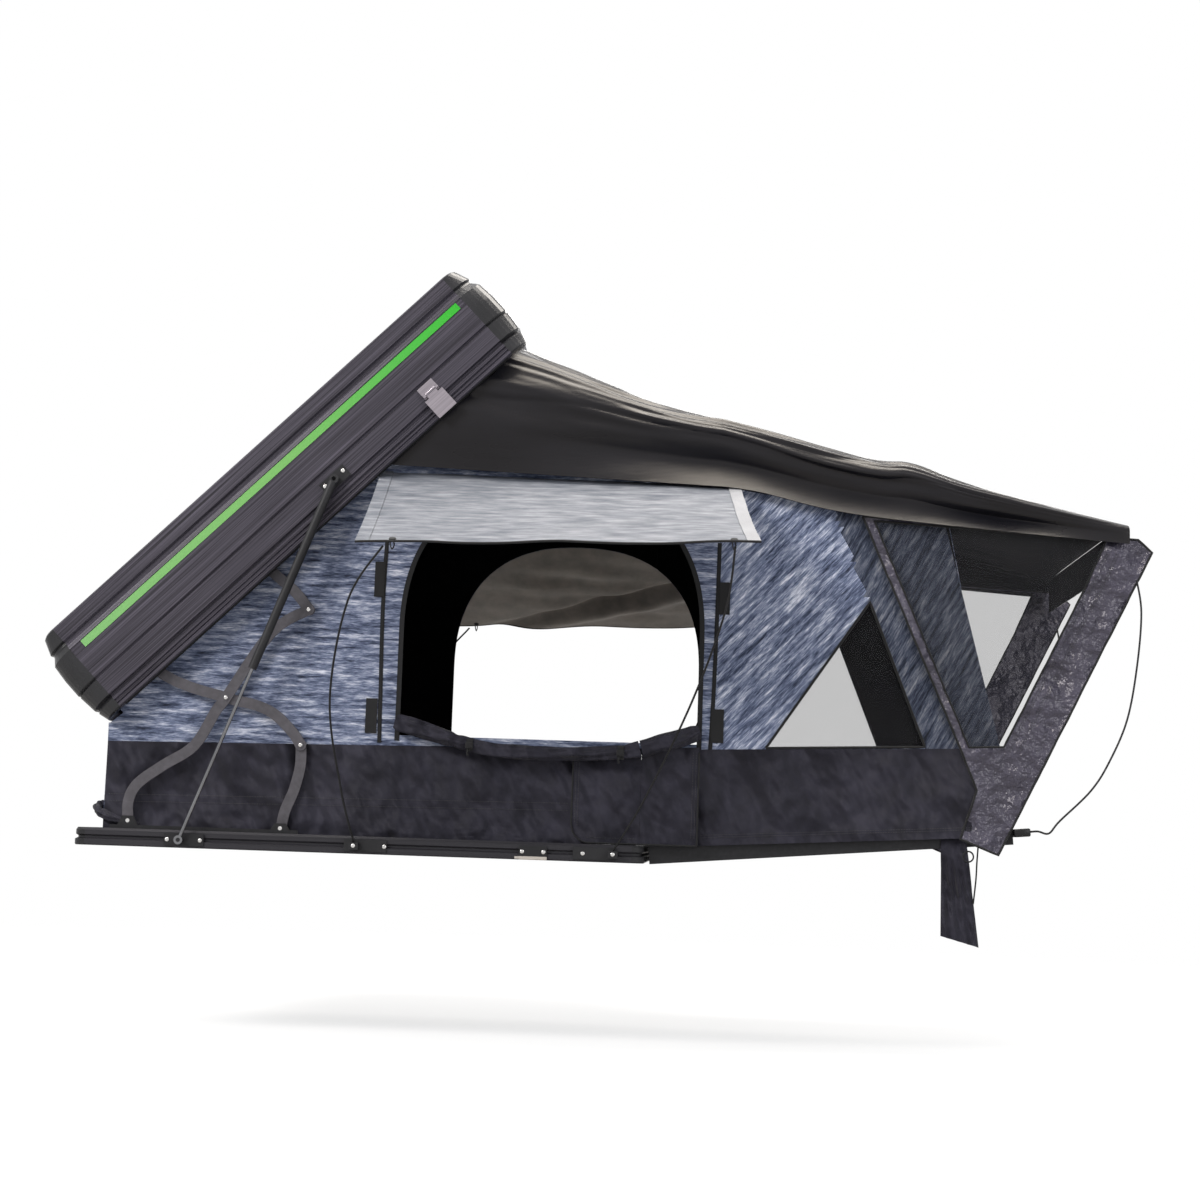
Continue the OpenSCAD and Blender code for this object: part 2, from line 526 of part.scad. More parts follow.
module annex_end_wall() color("slategray")
  skin([for (k = [0:4]) [for (v = [-4:4]) end_p(k/4, v/4, 0)]],
    [for (k = [0:4]) [for (v = [-4:4]) end_p(k/4, v/4, cloth_t)]]);
module annex_skirts() color("black") both() {
  n = 22;
  A = [for (i = [0:n]) let(x = mix(flap_e + 2, ex - 33, i/n), d = x - flap_e - 2)
    [for (k = [0:3]) [x, -wy - 3 - (k < 3 ? 3*sin(x*1.3)*sin(60*k) : 0) - 5*(3-k)/3,
     mix(48 + 0.062*d, 288 + 0.035*d, k/3)]]];
  skin([for (r = A) [for (q = r) q + [0, cloth_t, 0]]], A);
}
wing = [[hx + 578, 887], [ex - 130, 307], [ex - 89, 208], [ex - 128, 87], [ex - 34, 50],
  [ex + 337, 814], [ex + 302, 846]];
wing_in = [[hx + 608, 876], [ex - 110, 314], [ex - 49, 322], [ex + 144, 715], [ex + 199, 844]];
module wing_borders() color("black") both() difference() {
  slab(wing, -wy - 14, -wy - 12);
  slab(wing_in, -wy - 15, -wy - 11);
}
module mesh_panels() color("black", 0.6) both() {
  slab(tri, -wy + 0.6, -wy + 1.2);
  slab(wing_in, -wy - 13.4, -wy - 12.8);
}
flap_y = -pw - 0.3;
ring_d = 4;
ring_y = flap_y - cloth_t - 0.6 - ring_d/2;
module end_rings() color("silver") translate([ex - 106, ring_y, 44]) rotate([90, 0, 0])
  rotate_extrude() translate([13, 0]) circle(d = ring_d);
cord_d = 4;
cord_y = -pw - 0.3 - cord_d/2;
module tie_cords() color("black") rod([[ex - 80, cord_y, 98], [ex - 82, cord_y, 62],
  [ex - 84, cord_y - 0.7, 30], [ex - 86, cord_y - 2.4, -12], [ex - 92, cord_y - 4.6, -72]], 4, cord_d, 8);
module end_flaps() color("black") {
  A = [for (i = [0:6]) let(u = i/6) [for (k = [0:6]) let(v = k/6)
    [mix(ex - 174 + 3*v, ex - 113 + 36*v, u), flap_y - 5*sin(400*u + 120*v)*v*v,
     mix(90 + 8*u, -153 - 25*u, v)]]];
  skin([for (r = A) [for (q = r) q - [0, cloth_t, 0]]], A);
}

mount_rails();
base_side_rails();
base_end_rails();
base_corner_caps();
base_floor();
base_mattress();
arm_base_plates();
base_pivot_pins();
strut_base_brackets();
rod_sockets();
latch_keepers();
base_bolts();
hinge_blocks();
hinge_pins();
wall_near();
wall_far();
skirts();
skirt_flaps();
end_wall_low();
fly_front();
awning_near();
awning_far();
awning_rods();
window_rolls();
lid_sides();
lid_ends();
lid_corner_caps();
lid_panel();
lid_stripes();
lid_seal();
lid_arm_brackets();
lid_pivot_pins();
lid_strut_brackets();
lid_bolts();
latch_bases();
latch_lever_near();
latch_lever_far();
long_arms();
cross_arms();
top_links();
base_links();
strut_rods();
strut_cylinders();
floor_side_rails();
floor_end_rails();
floor_panel();
floor_mattress();
hinge_leaves();
hoop_pivots();
end_rods();
annex_walls();
annex_end_wall();
mesh_panels();
annex_skirts();
fly_rear();
wing_borders();
end_flaps();
end_rings();
tie_cords();
hoop();
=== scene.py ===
"""Looks of a hard-shell roof top tent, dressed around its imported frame.

Lengths are in millimetres until a mesh is made; the camera, lamps, shaders and packing planes use metres.
"""
import math

import bmesh
import bpy
from mathutils import Matrix, Vector, noise
from mathutils.geometry import delaunay_2d_cdt


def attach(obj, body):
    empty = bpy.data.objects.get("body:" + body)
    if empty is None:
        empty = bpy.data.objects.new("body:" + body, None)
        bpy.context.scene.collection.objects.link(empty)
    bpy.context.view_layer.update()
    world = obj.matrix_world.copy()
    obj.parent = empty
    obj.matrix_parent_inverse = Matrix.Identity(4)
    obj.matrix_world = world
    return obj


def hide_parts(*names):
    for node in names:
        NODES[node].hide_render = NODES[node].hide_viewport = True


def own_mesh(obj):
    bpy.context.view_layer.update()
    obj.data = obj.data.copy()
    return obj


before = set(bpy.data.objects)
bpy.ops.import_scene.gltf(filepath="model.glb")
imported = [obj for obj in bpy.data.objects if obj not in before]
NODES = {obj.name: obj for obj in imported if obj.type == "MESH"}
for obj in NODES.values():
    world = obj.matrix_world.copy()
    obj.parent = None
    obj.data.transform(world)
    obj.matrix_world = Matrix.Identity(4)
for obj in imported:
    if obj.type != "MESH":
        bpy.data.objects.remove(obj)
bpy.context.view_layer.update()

MM = 0.001

# The frame's own sizes, repeated from the part's source
BASE_SIDE = 650
WALL_Y = 595.8
HINGE = (660, 60)
FLOOR_TILT = math.radians(5)
FLOOR_NEAR, FLOOR_FAR = 62, 967
FLOOR_SIDE = 588
FLOOR_TOP = -16
FLOOR_END = HINGE[0] + FLOOR_FAR * math.cos(FLOOR_TILT)
LID_CORNER = (-645, 315)
LID_TILT = math.radians(44.3)
LID_LENGTH = 1421
LID_LIP = 41         # lower edge of the lid's high end
SPLIT = 700          # the cloth parts here, over the hinge
PRINT_SEAM = 880     # the print turns here
WALL_LOW_X = -652
WIN_LEFT, WIN_RIGHT = 87, 838
WIN_MIDDLE, WIN_HALF = (WIN_LEFT + WIN_RIGHT) / 2, (WIN_RIGHT - WIN_LEFT) / 2
WIN_LOW, WIN_SPRING, WIN_TOP = 300, 560, 945
WIN_POWER = 2.4      # how square the window's arch is
WIN_PAST = 900       # right of all that belongs to the window
FLAP_START, FLAP_END = 530, 844
CLOTH = 2            # thickness
NETTING = 0.5
CLOTH_FOOT = 24.6    # lower edge of the cloth over the base floor
SIDES = (("near", -1), ("far", 1))


# Camera and stage

CAM_AT = (0.8353, -6.1675, 0.0595)
CAM_YAW, CAM_PITCH, CAM_ROLL = (math.radians(a) for a in (2.599, 6.119, 1.934))
CAM_LENS = 66.58
STAGE_Z = -0.46
STAGE_REACH = 6
STAGE_GLOW = 0.68    # the floor's own light, for the camera alone
WORLD_LEVEL = 0.34


def add_camera():
    """Aims the camera by yaw, pitch and roll."""
    camera = bpy.data.cameras.new("camera")
    camera.lens = CAM_LENS
    camera.sensor_width = 36
    camera.clip_end = 100
    ahead = Vector((-math.sin(CAM_YAW) * math.cos(CAM_PITCH), math.cos(CAM_YAW) * math.cos(CAM_PITCH),
                    math.sin(CAM_PITCH)))
    level = Vector((math.cos(CAM_YAW), math.sin(CAM_YAW), 0))
    above = level.cross(ahead)
    right = level * math.cos(CAM_ROLL) + above * math.sin(CAM_ROLL)
    up = above * math.cos(CAM_ROLL) - level * math.sin(CAM_ROLL)
    obj = bpy.data.objects.new("camera", camera)
    turn = Matrix((right, up, -ahead)).transposed().to_4x4()
    obj.matrix_world = Matrix.Translation(CAM_AT) @ turn
    bpy.context.scene.collection.objects.link(obj)
    bpy.context.scene.camera = obj


def add_lamp(name, at, aim, size, watts, tint):
    lamp = bpy.data.lights.new(name, "AREA")
    lamp.shape = "RECTANGLE"
    lamp.size, lamp.size_y = size
    lamp.energy = watts
    lamp.color = tint
    obj = bpy.data.objects.new(name, lamp)
    obj.location = at
    obj.rotation_euler = (Vector(aim) - Vector(at)).to_track_quat("-Z", "Y").to_euler()
    bpy.context.scene.collection.objects.link(obj)


def white_for_camera(nt, strength):
    """1 for camera, glossy and transmission rays, else strength."""
    rays = nt.nodes.new("ShaderNodeLightPath")
    seen = rays.outputs["Is Camera Ray"]
    for kind in ("Is Glossy Ray", "Is Transmission Ray"):
        seen = maths(nt, "MAXIMUM", seen, rays.outputs[kind])
    return new(nt, "MapRange", {"Value": seen, "To Min": strength, "To Max": 1}).outputs[0]


def add_world():
    world = bpy.data.worlds.new("studio")
    world.use_nodes = True
    nt = world.node_tree
    feed(nt, nt.nodes["Background"], {"Color": (1, 1, 1, 1), "Strength": white_for_camera(nt, WORLD_LEVEL)})
    bpy.context.scene.world = world


def fade_out(nt, reach):
    """1 under the object, 0 near reach metres from it."""
    away = new(nt, "VectorMath", {0: coordinates(nt)})
    away.operation = "LENGTH"
    fade = new(nt, "MapRange", {"Value": away.outputs["Value"], "From Min": reach * 0.3,
                                "From Max": reach * 0.97, "To Min": 1, "To Max": 0})
    fade.interpolation_type = "SMOOTHSTEP"
    return fade.outputs[0]


def add_floor():
    """A pale round floor, white where nothing shades it, that thins out at its edge."""
    bm = bmesh.new()
    bmesh.ops.create_circle(bm, cap_ends=True, radius=STAGE_REACH, segments=64)
    mesh = bpy.data.meshes.new("studio_floor")
    bm.to_mesh(mesh)
    bm.free()
    obj = bpy.data.objects.new("studio_floor", mesh)
    obj.location = (0.5, 0, STAGE_Z)
    bpy.context.scene.collection.objects.link(obj)
    mat, nt, bsdf = start("studio_floor")
    rays = nt.nodes.new("ShaderNodeLightPath")
    glow = maths(nt, "MULTIPLY", rays.outputs["Is Camera Ray"], STAGE_GLOW)
    feed(nt, bsdf, {"Base Color": (0.5, 0.5, 0.5, 1), "Roughness": 0.9, "Specular IOR Level": 0.1,
                    "Emission Color": (1, 1, 1, 1), "Emission Strength": glow,
                    "Alpha": fade_out(nt, STAGE_REACH)})
    mesh.materials.append(mat)


def add_studio():
    bpy.context.scene.view_settings.view_transform = "Standard"
    add_camera()
    add_world()
    add_floor()
    middle = (0.5, 0, 0.5)
    add_lamp("key", (-3.8, -4.4, 4.0), middle, (2.4, 1.8), 330, (1, 0.98, 0.96))
    add_lamp("fill", (4.6, -4.4, 2.0), middle, (2.4, 2.4), 90, (0.97, 0.98, 1))
    add_lamp("top", (0.9, -0.45, 4.4), middle, (3.6, 2.0), 310, (1, 0.95, 0.88))
    add_lamp("rim", (1.4, 4.4, 3.0), middle, (3.0, 1.6), 120, (1, 0.97, 0.93))


# Shader nodes

def feed(nt, node, values):
    """Gives a node's inputs their values: an output is linked, and a constant is set."""
    for key, value in values.items():
        if isinstance(value, bpy.types.NodeSocket):
            nt.links.new(value, node.inputs[key])
        else:
            node.inputs[key].default_value = value


def new(nt, kind, values):
    node = nt.nodes.new("ShaderNode" + kind)
    feed(nt, node, values)
    return node


def maths(nt, operation, a, b):
    node = new(nt, "Math", {0: a, 1: b})
    node.operation = operation
    return node.outputs[0]


def start(name):
    mat = bpy.data.materials.new(name)
    mat.use_nodes = True
    return mat, mat.node_tree, mat.node_tree.nodes["Principled BSDF"]


def coordinates(nt):
    return nt.nodes.new("ShaderNodeTexCoord").outputs["Object"]


def where(nt, scale, turn=(0, 0, 0)):
    """Object coordinates, turned and then scaled per axis."""
    turned = new(nt, "Mapping", {"Vector": coordinates(nt), "Rotation": turn})
    return new(nt, "Mapping", {"Vector": turned.outputs[0], "Scale": scale}).outputs[0]


def grain(nt, vector, detail=2.0, roughness=0.5):
    values = {"Vector": vector, "Scale": 1, "Detail": detail, "Roughness": roughness}
    return new(nt, "TexNoise", values).outputs["Fac"]


def ramp(nt, fac, stops):
    """Colours at places along fac."""
    node = new(nt, "ValToRGB", {"Fac": fac})
    ends = node.color_ramp.elements
    for element, (at, colour) in zip((ends[0], ends[1]), (stops[0], stops[-1])):
        element.position = at
        element.color = (*colour, 1)
    for at, colour in stops[1:-1]:
        ends.new(at).color = (*colour, 1)
    return node.outputs["Color"]


def spread(nt, fac, low, high):
    """Takes the middle of a grain to values from low to high."""
    values = {"Value": fac, "From Min": 0.3, "From Max": 0.7, "To Min": low, "To Max": high}
    return new(nt, "MapRange", values).outputs[0]


def height_share(nt, low, high):
    """0 to 1 between two heights in metres."""
    split = new(nt, "SeparateXYZ", {0: coordinates(nt)})
    return new(nt, "MapRange", {"Value": split.outputs["Z"], "From Min": low, "From Max": high}).outputs[0]


def bump(nt, bsdf, height, strength, depth, under=None):
    """Relief of a depth in metres, laid over any relief under it."""
    node = new(nt, "Bump", {"Strength": strength, "Distance": depth, "Height": height})
    if under is not None:
        nt.links.new(under, node.inputs["Normal"])
    nt.links.new(node.outputs[0], bsdf.inputs["Normal"])
    return node.outputs[0]


def weave(nt, pitch):
    """Height of a plain weave: two crossed waves, added."""
    waves = []
    for scale in ((1 / pitch, 1 / pitch, 0), (0, 0, 1 / pitch)):
        wave = new(nt, "TexWave", {"Vector": where(nt, scale), "Scale": 1, "Distortion": 0.4})
        wave.bands_direction = "DIAGONAL"
        waves.append(wave.outputs["Fac"])
    return maths(nt, "ADD", *waves)


def shade(colour, factor):
    return tuple(c * factor for c in colour)


# Materials

def metal(name, colour, rough, metallic, lines, turn=(0, 0, 0), level=0.5, vary=0.2):
    """Coated or bare metal with fine lines drawn along one axis; the lines' colour follows their relief,
    darker in the grooves and paler on the ridges: partly grain, partly painted shade and highlight, which
    grow with vary.
    """
    mat, nt, bsdf = start(name)
    fine = grain(nt, where(nt, lines, turn), 3, 0.6)
    cloud = grain(nt, where(nt, (5, 5, 5)), 3)
    stops = [(0.3, shade(colour, 1 - vary)), (0.55, colour), (0.75, shade(colour, 1 + vary))]
    feed(nt, bsdf, {"Base Color": ramp(nt, fine, stops), "Metallic": metallic, "Specular IOR Level": level,
                    "Roughness": spread(nt, cloud, rough - 0.06, rough + 0.08)})
    bump(nt, bsdf, fine, 0.25, 0.002 * vary)
    return mat


def moulded(name, colour, rough, level=0.22):
    """Grained moulded plastic or rubber."""
    mat, nt, bsdf = start(name)
    pebble = grain(nt, where(nt, (900, 900, 900)), 1)
    cloud = grain(nt, where(nt, (9, 9, 9)), 3)
    stops = [(0.3, shade(colour, 0.8)), (0.7, shade(colour, 1.3))]
    feed(nt, bsdf, {"Base Color": ramp(nt, cloud, stops), "Specular IOR Level": level,
                    "Roughness": spread(nt, cloud, rough - 0.06, rough + 0.06)})
    bump(nt, bsdf, pebble, 0.3, 0.0005)
    return mat


def cloth(name, colour, rough, pitch, sheen=0.1, level=0.3, uneven=0.25, droop=0.0):
    """Plain dyed cloth with a weave, slightly uneven dye and soft hanging folds of a depth."""
    mat, nt, bsdf = start(name)
    cloud = grain(nt, where(nt, (14, 14, 14)), 4, 0.6)
    stops = [(0.3, shade(colour, 1 - uneven)), (0.7, shade(colour, 1 + uneven))]
    feed(nt, bsdf, {"Base Color": ramp(nt, cloud, stops), "Specular IOR Level": level, "Sheen Weight": sheen,
                    "Sheen Roughness": 0.5, "Roughness": spread(nt, cloud, rough - 0.05, rough + 0.05)})
    folds = bump(nt, bsdf, grain(nt, where(nt, (7, 7, 4), (0, 0.5, 0)), 3, 0.45), 0.8, droop)
    bump(nt, bsdf, weave(nt, pitch), 0.35, 0.0006, folds)
    return mat


STREAKS = ((0.36, (0.014, 0.017, 0.030)), (0.43, (0.055, 0.069, 0.120)), (0.50, (0.135, 0.162, 0.250)),
           (0.56, (0.290, 0.320, 0.420)), (0.64, (0.620, 0.640, 0.720)))


def streaked(name, turn, level=1.0):
    """Canvas printed with broken pale and dark streaks, drawn along the turned x axis."""
    mat, nt, bsdf = start(name)
    broad = grain(nt, where(nt, (10, 8, 88), (0, turn, 0)), 4, 0.62)
    fine = grain(nt, where(nt, (38, 25, 300), (0, turn, 0)), 4, 0.7)
    streak = new(nt, "Mix", {"Factor": 0.42, "A": broad, "B": fine}).outputs["Result"]
    stops = [(at, shade(colour, level)) for at, colour in STREAKS]
    feed(nt, bsdf, {"Base Color": ramp(nt, streak, stops), "Roughness": 0.82, "Specular IOR Level": 0.22,
                    "Sheen Weight": 0.06})
    slub = bump(nt, bsdf, streak, 0.25, 0.0012)
    bump(nt, bsdf, weave(nt, 0.0024), 0.35, 0.0006, slub)
    return mat


def nylon(name, colour, rough, tint, level, size, depth):
    """Coated ripstop nylon: glossy, with a square grid of thicker threads and creases of a size; its colour
    is painted darker in the creases' hollows and paler on their crests, as shade and highlight.
    """
    mat, nt, bsdf = start(name)
    crease = grain(nt, where(nt, size), 4, 0.5)
    # painted shade in the crease hollows, painted highlight on their crests
    stops = [(0.3, shade(colour, 0.8)), (0.7, shade(colour, 1.25))]
    feed(nt, bsdf, {"Base Color": ramp(nt, crease, stops), "Specular IOR Level": level,
                    "Specular Tint": (*tint, 1), "Roughness": spread(nt, crease, rough - 0.05, rough + 0.07)})
    folds = bump(nt, bsdf, crease, 0.6, depth)
    bump(nt, bsdf, weave(nt, 0.006), 0.12, 0.0006, folds)
    return mat


def pale_awning():
    mat, nt, bsdf = start("awning_top")
    # The colour streaks follow the ripples' relief: painted shade in their hollows, painted highlight on
    # their crests, over the cloth's pale tone.
    ripple = grain(nt, where(nt, (12, 20, 130)), 4, 0.62)
    stops = [(0.30, (0.050, 0.059, 0.080)), (0.5, (0.116, 0.126, 0.150)), (0.70, (0.205, 0.214, 0.240))]
    feed(nt, bsdf, {"Base Color": ramp(nt, ripple, stops), "Roughness": 0.62})
    folds = bump(nt, bsdf, ripple, 0.3, 0.004)
    bump(nt, bsdf, weave(nt, 0.003), 0.3, 0.0005, folds)
    return mat


def insect_mesh():
    """Fine netting: a dark weave that is mostly open."""
    mat, nt, bsdf = start("insect_mesh")
    cloud = grain(nt, where(nt, (8, 8, 8)), 3)
    stops = [(0.3, (0.006, 0.006, 0.008)), (0.7, (0.018, 0.018, 0.024))]
    feed(nt, bsdf, {"Base Color": ramp(nt, cloud, stops), "Roughness": spread(nt, cloud, 0.55, 0.75),
                    "Alpha": 0.15})
    bump(nt, bsdf, weave(nt, 0.0025), 0.5, 0.0006)
    return mat


def stripe_paint():
    """Reflective tape, saturated at its top end; its paler, greyer lower run is a painted reflection."""
    mat, nt, bsdf = start("stripe_tape")
    stops = [(0.0, (0.17, 0.40, 0.13)), (0.55, (0.14, 0.38, 0.09)), (0.86, (0.04, 0.36, 0.03)),
             (1.0, (0.012, 0.36, 0.008))]
    cells = grain(nt, where(nt, (240, 240, 240)), 1)
    feed(nt, bsdf, {"Base Color": ramp(nt, height_share(nt, 0.50, 1.40), stops),
                    "Roughness": spread(nt, cells, 0.34, 0.5)})
    bump(nt, bsdf, cells, 0.2, 0.0004)
    return mat


def keeper_plate():
    """Black plate whose foot, a bright bar, is bare steel."""
    mat, nt, bsdf = start("keeper_plate")
    stops = [(0.42, (0.50, 0.46, 0.42)), (0.44, (0.018, 0.018, 0.020))]
    lines = grain(nt, where(nt, (4, 300, 300)), 3)
    feed(nt, bsdf, {"Base Color": ramp(nt, height_share(nt, 0, 0.02), stops), "Metallic": 0.6,
                    "Roughness": spread(nt, lines, 0.32, 0.46)})
    bump(nt, bsdf, lines, 0.2, 0.0004)
    return mat


LID_TURN = (0, LID_TILT, 0)
LID_COAT = (0.056, 0.051, 0.066)
RAIL_COAT = (0.030, 0.029, 0.034)
M = {
    # strong line contrast on the lid: partly grain, partly painted groove shade and rib highlight
    "lid": metal("lid_coat", LID_COAT, 0.34, 0.10, (2, 330, 330), LID_TURN, 0.2, 0.75),
    "lid_cross": metal("lid_coat_cross", LID_COAT, 0.34, 0.10, (330, 2, 330), LID_TURN, 0.2, 0.75),
    "rail": metal("rail_coat", RAIL_COAT, 0.36, 0.10, (3, 240, 240), level=0.2),
    "rail_cross": metal("rail_coat_cross", RAIL_COAT, 0.36, 0.10, (240, 3, 240), level=0.2),
    "panel": metal("honeycomb_panel", (0.050, 0.048, 0.054), 0.60, 0.1, (4, 200, 200), level=0.15),
    "arm": metal("arm_coat", (0.080, 0.076, 0.086), 0.44, 0.10, (60, 60, 60), level=0.25),
    "black_steel": metal("black_steel", (0.020, 0.020, 0.022), 0.42, 0.2, (90, 90, 90), level=0.2),
    "latch": metal("latch_steel", (0.30, 0.27, 0.30), 0.34, 0.85, (4, 300, 300), LID_TURN),
    "keeper": keeper_plate(),
    "bright": metal("bright_steel", (0.62, 0.61, 0.60), 0.24, 1.0, (120, 120, 120)),
    "chrome": metal("chrome_rod", (0.20, 0.20, 0.21), 0.16, 1.0, (6, 6, 6)),
    "hoop": metal("hoop_tube", (0.42, 0.42, 0.43), 0.34, 0.9, (8, 8, 8)),
    "plastic": moulded("black_plastic", (0.018, 0.018, 0.020), 0.48),
    "cap": moulded("corner_cap", (0.012, 0.012, 0.014), 0.27, 0.4),
    "rubber": moulded("rubber", (0.010, 0.010, 0.010), 0.75),
    "fibreglass": moulded("fibreglass_rod", (0.012, 0.012, 0.013), 0.32),
    "stripe": stripe_paint(),
    "canvas": streaked("canvas_level", 0, 1.05),
    "canvas_slant": streaked("canvas_slant", math.radians(47), 1.18),
    # a darker copy of the print: painted shade of the roof on the strip beside the mesh
    "canvas_end_shaded": streaked("canvas_end_shaded", math.radians(62), 0.38),
    "skirt": cloth("skirt_cloth", (0.023, 0.022, 0.032), 0.60, 0.0028, 0.05, 0.14, 0.35, 0.3),
    "liner": cloth("inner_liner", (0.006, 0.006, 0.007), 0.9, 0.003, 0.03, 0.12),
    "fly": nylon("fly_nylon", (0.008, 0.008, 0.011), 0.30, (1.0, 0.93, 0.82), 0.22, (2, 6, 9), 0.006),
    # the border's grey-purple is partly the cloth's tone and partly a painted sheen on its crumples
    "wing": nylon("wing_nylon", (0.052, 0.048, 0.070), 0.28, (1.0, 0.96, 1.0), 0.42, (11, 11, 11), 0.14),
    "awning": pale_awning(),
    "awning_band": cloth("awning_band", (0.26, 0.265, 0.285), 0.6, 0.003, 0.05, 0.3, 0.12),
    # the awning's underside, darker and browner: painted shade, warmed as light shining through the cloth
    "awning_back_shaded": cloth("awning_back_shaded", (0.190, 0.165, 0.140), 0.55, 0.003, 0.05, 0.35),
    "mesh": insect_mesh(),
    "webbing": cloth("webbing", (0.012, 0.012, 0.013), 0.8, 0.0016, 0.1, 0.25),
    "thread": cloth("thread", (0.045, 0.045, 0.050), 0.7, 0.0008, 0.1, 0.3),
    "cover": cloth("mattress_cover", (0.10, 0.105, 0.115), 0.85, 0.003, 0.15, 0.25),
}


# Mesh making: a shape is (points in mm, faces)

def mix(a, b, u):
    return a + (b - a) * u


def clamp(u):
    return max(0, min(1, u))


def wobble(x, y, z=0.0):
    return noise.noise(Vector((x, y, z)))


def lid_at(a, b):
    """(x, z) of a point a along the lid and b above its lower edge."""
    c, s = math.cos(LID_TILT), math.sin(LID_TILT)
    return (LID_CORNER[0] + a * c - b * s, LID_CORNER[1] + a * s + b * c)


def spline(points, per):
    """Catmull-Rom curve through the points, per steps a span."""
    pts = [Vector(p) for p in points]
    out = []
    last = len(pts) - 1
    for i in range(last):
        p, q, r, s = pts[max(i - 1, 0)], pts[i], pts[i + 1], pts[min(i + 2, last)]
        for k in range(per):
            u = k / per
            out.append(0.5 * (2 * q + (r - p) * u + (2 * p - 5 * q + 4 * r - s) * u * u
                              + (3 * q - p - 3 * r + s) * u ** 3))
    return out + [pts[-1]]


def even(points, step):
    """The polyline's points, put about step apart."""
    out = [Vector(points[0])]
    for a, b in zip(points, points[1:]):
        a, b = Vector(a), Vector(b)
        n = max(1, round((b - a).length / step))
        out += [a.lerp(b, k / n) for k in range(1, n + 1)]
    return out


def smooth_table(table):
    """Smooth lookup through (x, value) rows."""
    curve = spline([(x, v, 0) for x, v in table], 12)

    def at(x):
        if x <= curve[0].x:
            return curve[0].y
        for a, b in zip(curve, curve[1:]):
            if x <= b.x:
                return mix(a.y, b.y, (x - a.x) / max(b.x - a.x, 1e-9))
        return curve[-1].y
    return at


def grid(at, nu, nv):
    """Rows of at(u, v); faces look along du x dv."""
    points = [Vector(at(i / nu, j / nv)) for i in range(nu + 1) for j in range(nv + 1)]
    w = nv + 1
    faces = [(i * w + j, (i + 1) * w + j, (i + 1) * w + j + 1, i * w + j + 1)
             for i in range(nu) for j in range(nv)]
    return points, faces


def inside(polygon, x, z):
    """Whether the polygon holds the place, by counting the edges to its right."""
    odd = False
    for (ax, az), (bx, bz) in zip(polygon, polygon[1:] + polygon[:1]):
        if (az > z) != (bz > z) and x < (bx - ax) * (z - az) / (bz - az) + ax:
            odd = not odd
    return odd


def closed_even(polygon, step):
    """The polygon with points about step apart on its edges."""
    ring = even([(x, z, 0) for x, z in polygon + polygon[:1]], step)[:-1]
    return [(p.x, p.y) for p in ring]


def sheet_shape(outline, holes, step, depth):
    """A flat-cut sheet in the xz plane, with y from depth(x, z). It faces -y."""
    rings = [closed_even(r, step) for r in [outline] + holes]

    def kept(x, z):
        return inside(rings[0], x, z) and not any(inside(hole, x, z) for hole in rings[1:])

    points, edges = [], []
    for ring in rings:
        first = len(points)
        points += [Vector(p) for p in ring]
        edges += [(first + i, first + (i + 1) % len(ring)) for i in range(len(ring))]
    rim = list(points)
    xs, zs = [p.x for p in rim], [p.y for p in rim]
    row_gap = step * 0.866
    rows = int((max(zs) - min(zs)) / row_gap)
    for r in range(1, rows + 1):
        z = min(zs) + r * row_gap
        x = min(xs) + (step / 2 if r % 2 else 0)
        while x < max(xs):
            spot = Vector((x, z))
            if kept(x, z) and min((spot - q).length_squared for q in rim) > (0.55 * step) ** 2:
                points.append(spot)
            x += step
    flat, _, tris, *_ = delaunay_2d_cdt(points, edges, [], 0, 1e-4)
    faces = []
    for tri in tris:
        cx = sum(flat[i].x for i in tri) / 3
        cz = sum(flat[i].y for i in tri) / 3
        if kept(cx, cz):
            faces.append(tuple(tri))
    return [Vector((p.x, depth(p.x, p.y), p.y)) for p in flat], faces


def normals(points, faces):
    """Each point's outward direction."""
    out = [Vector() for _ in points]
    for face in faces:
        a, b, c = points[face[0]], points[face[1]], points[face[2]]
        n = (b - a).cross(c - a)
        for i in face:
            out[i] += n
    return [n.normalized() for n in out]


def close_behind(points, back, faces):
    """Joins a sheet to a second skin. Gives the shape and where the back's faces start."""
    count = len(points)
    edges = {edge: True for face in faces for edge in zip(face, face[1:] + face[:1])}
    rim = [(b, a, a + count, b + count) for a, b in edges if (b, a) not in edges]
    behind = [tuple(i + count for i in reversed(face)) for face in faces]
    return (points + back, faces + rim + behind), len(faces) + len(rim)


def thicken(shape, depth):
    """Closes a sheet with a second skin depth behind it."""
    points, faces = shape
    back = [p - n * depth for p, n in zip(points, normals(points, faces))]
    return close_behind(points, back, faces)


def lofted(count, sides):
    """Faces between count closed rings of points, with both ends capped."""
    faces = []
    for i in range(count - 1):
        for k in range(sides):
            k1 = (k + 1) % sides
            faces.append((i * sides + k, i * sides + k1, (i + 1) * sides + k1, (i + 1) * sides + k))
    faces.append(tuple(reversed(range(sides))))
    faces.append(tuple(range((count - 1) * sides, count * sides)))
    return faces


def ring_frames(path):
    """Tangent, side and up of each point, carried along without twist."""
    out = []
    side = None
    for i, p in enumerate(path):
        t = (path[min(i + 1, len(path) - 1)] - path[max(i - 1, 0)]).normalized()
        if side is None:
            side = t.cross(Vector((0.31, 0.22, 0.93))).normalized()
        side = (side - t * side.dot(t)).normalized()
        out.append((p, side, t.cross(side)))
    return out


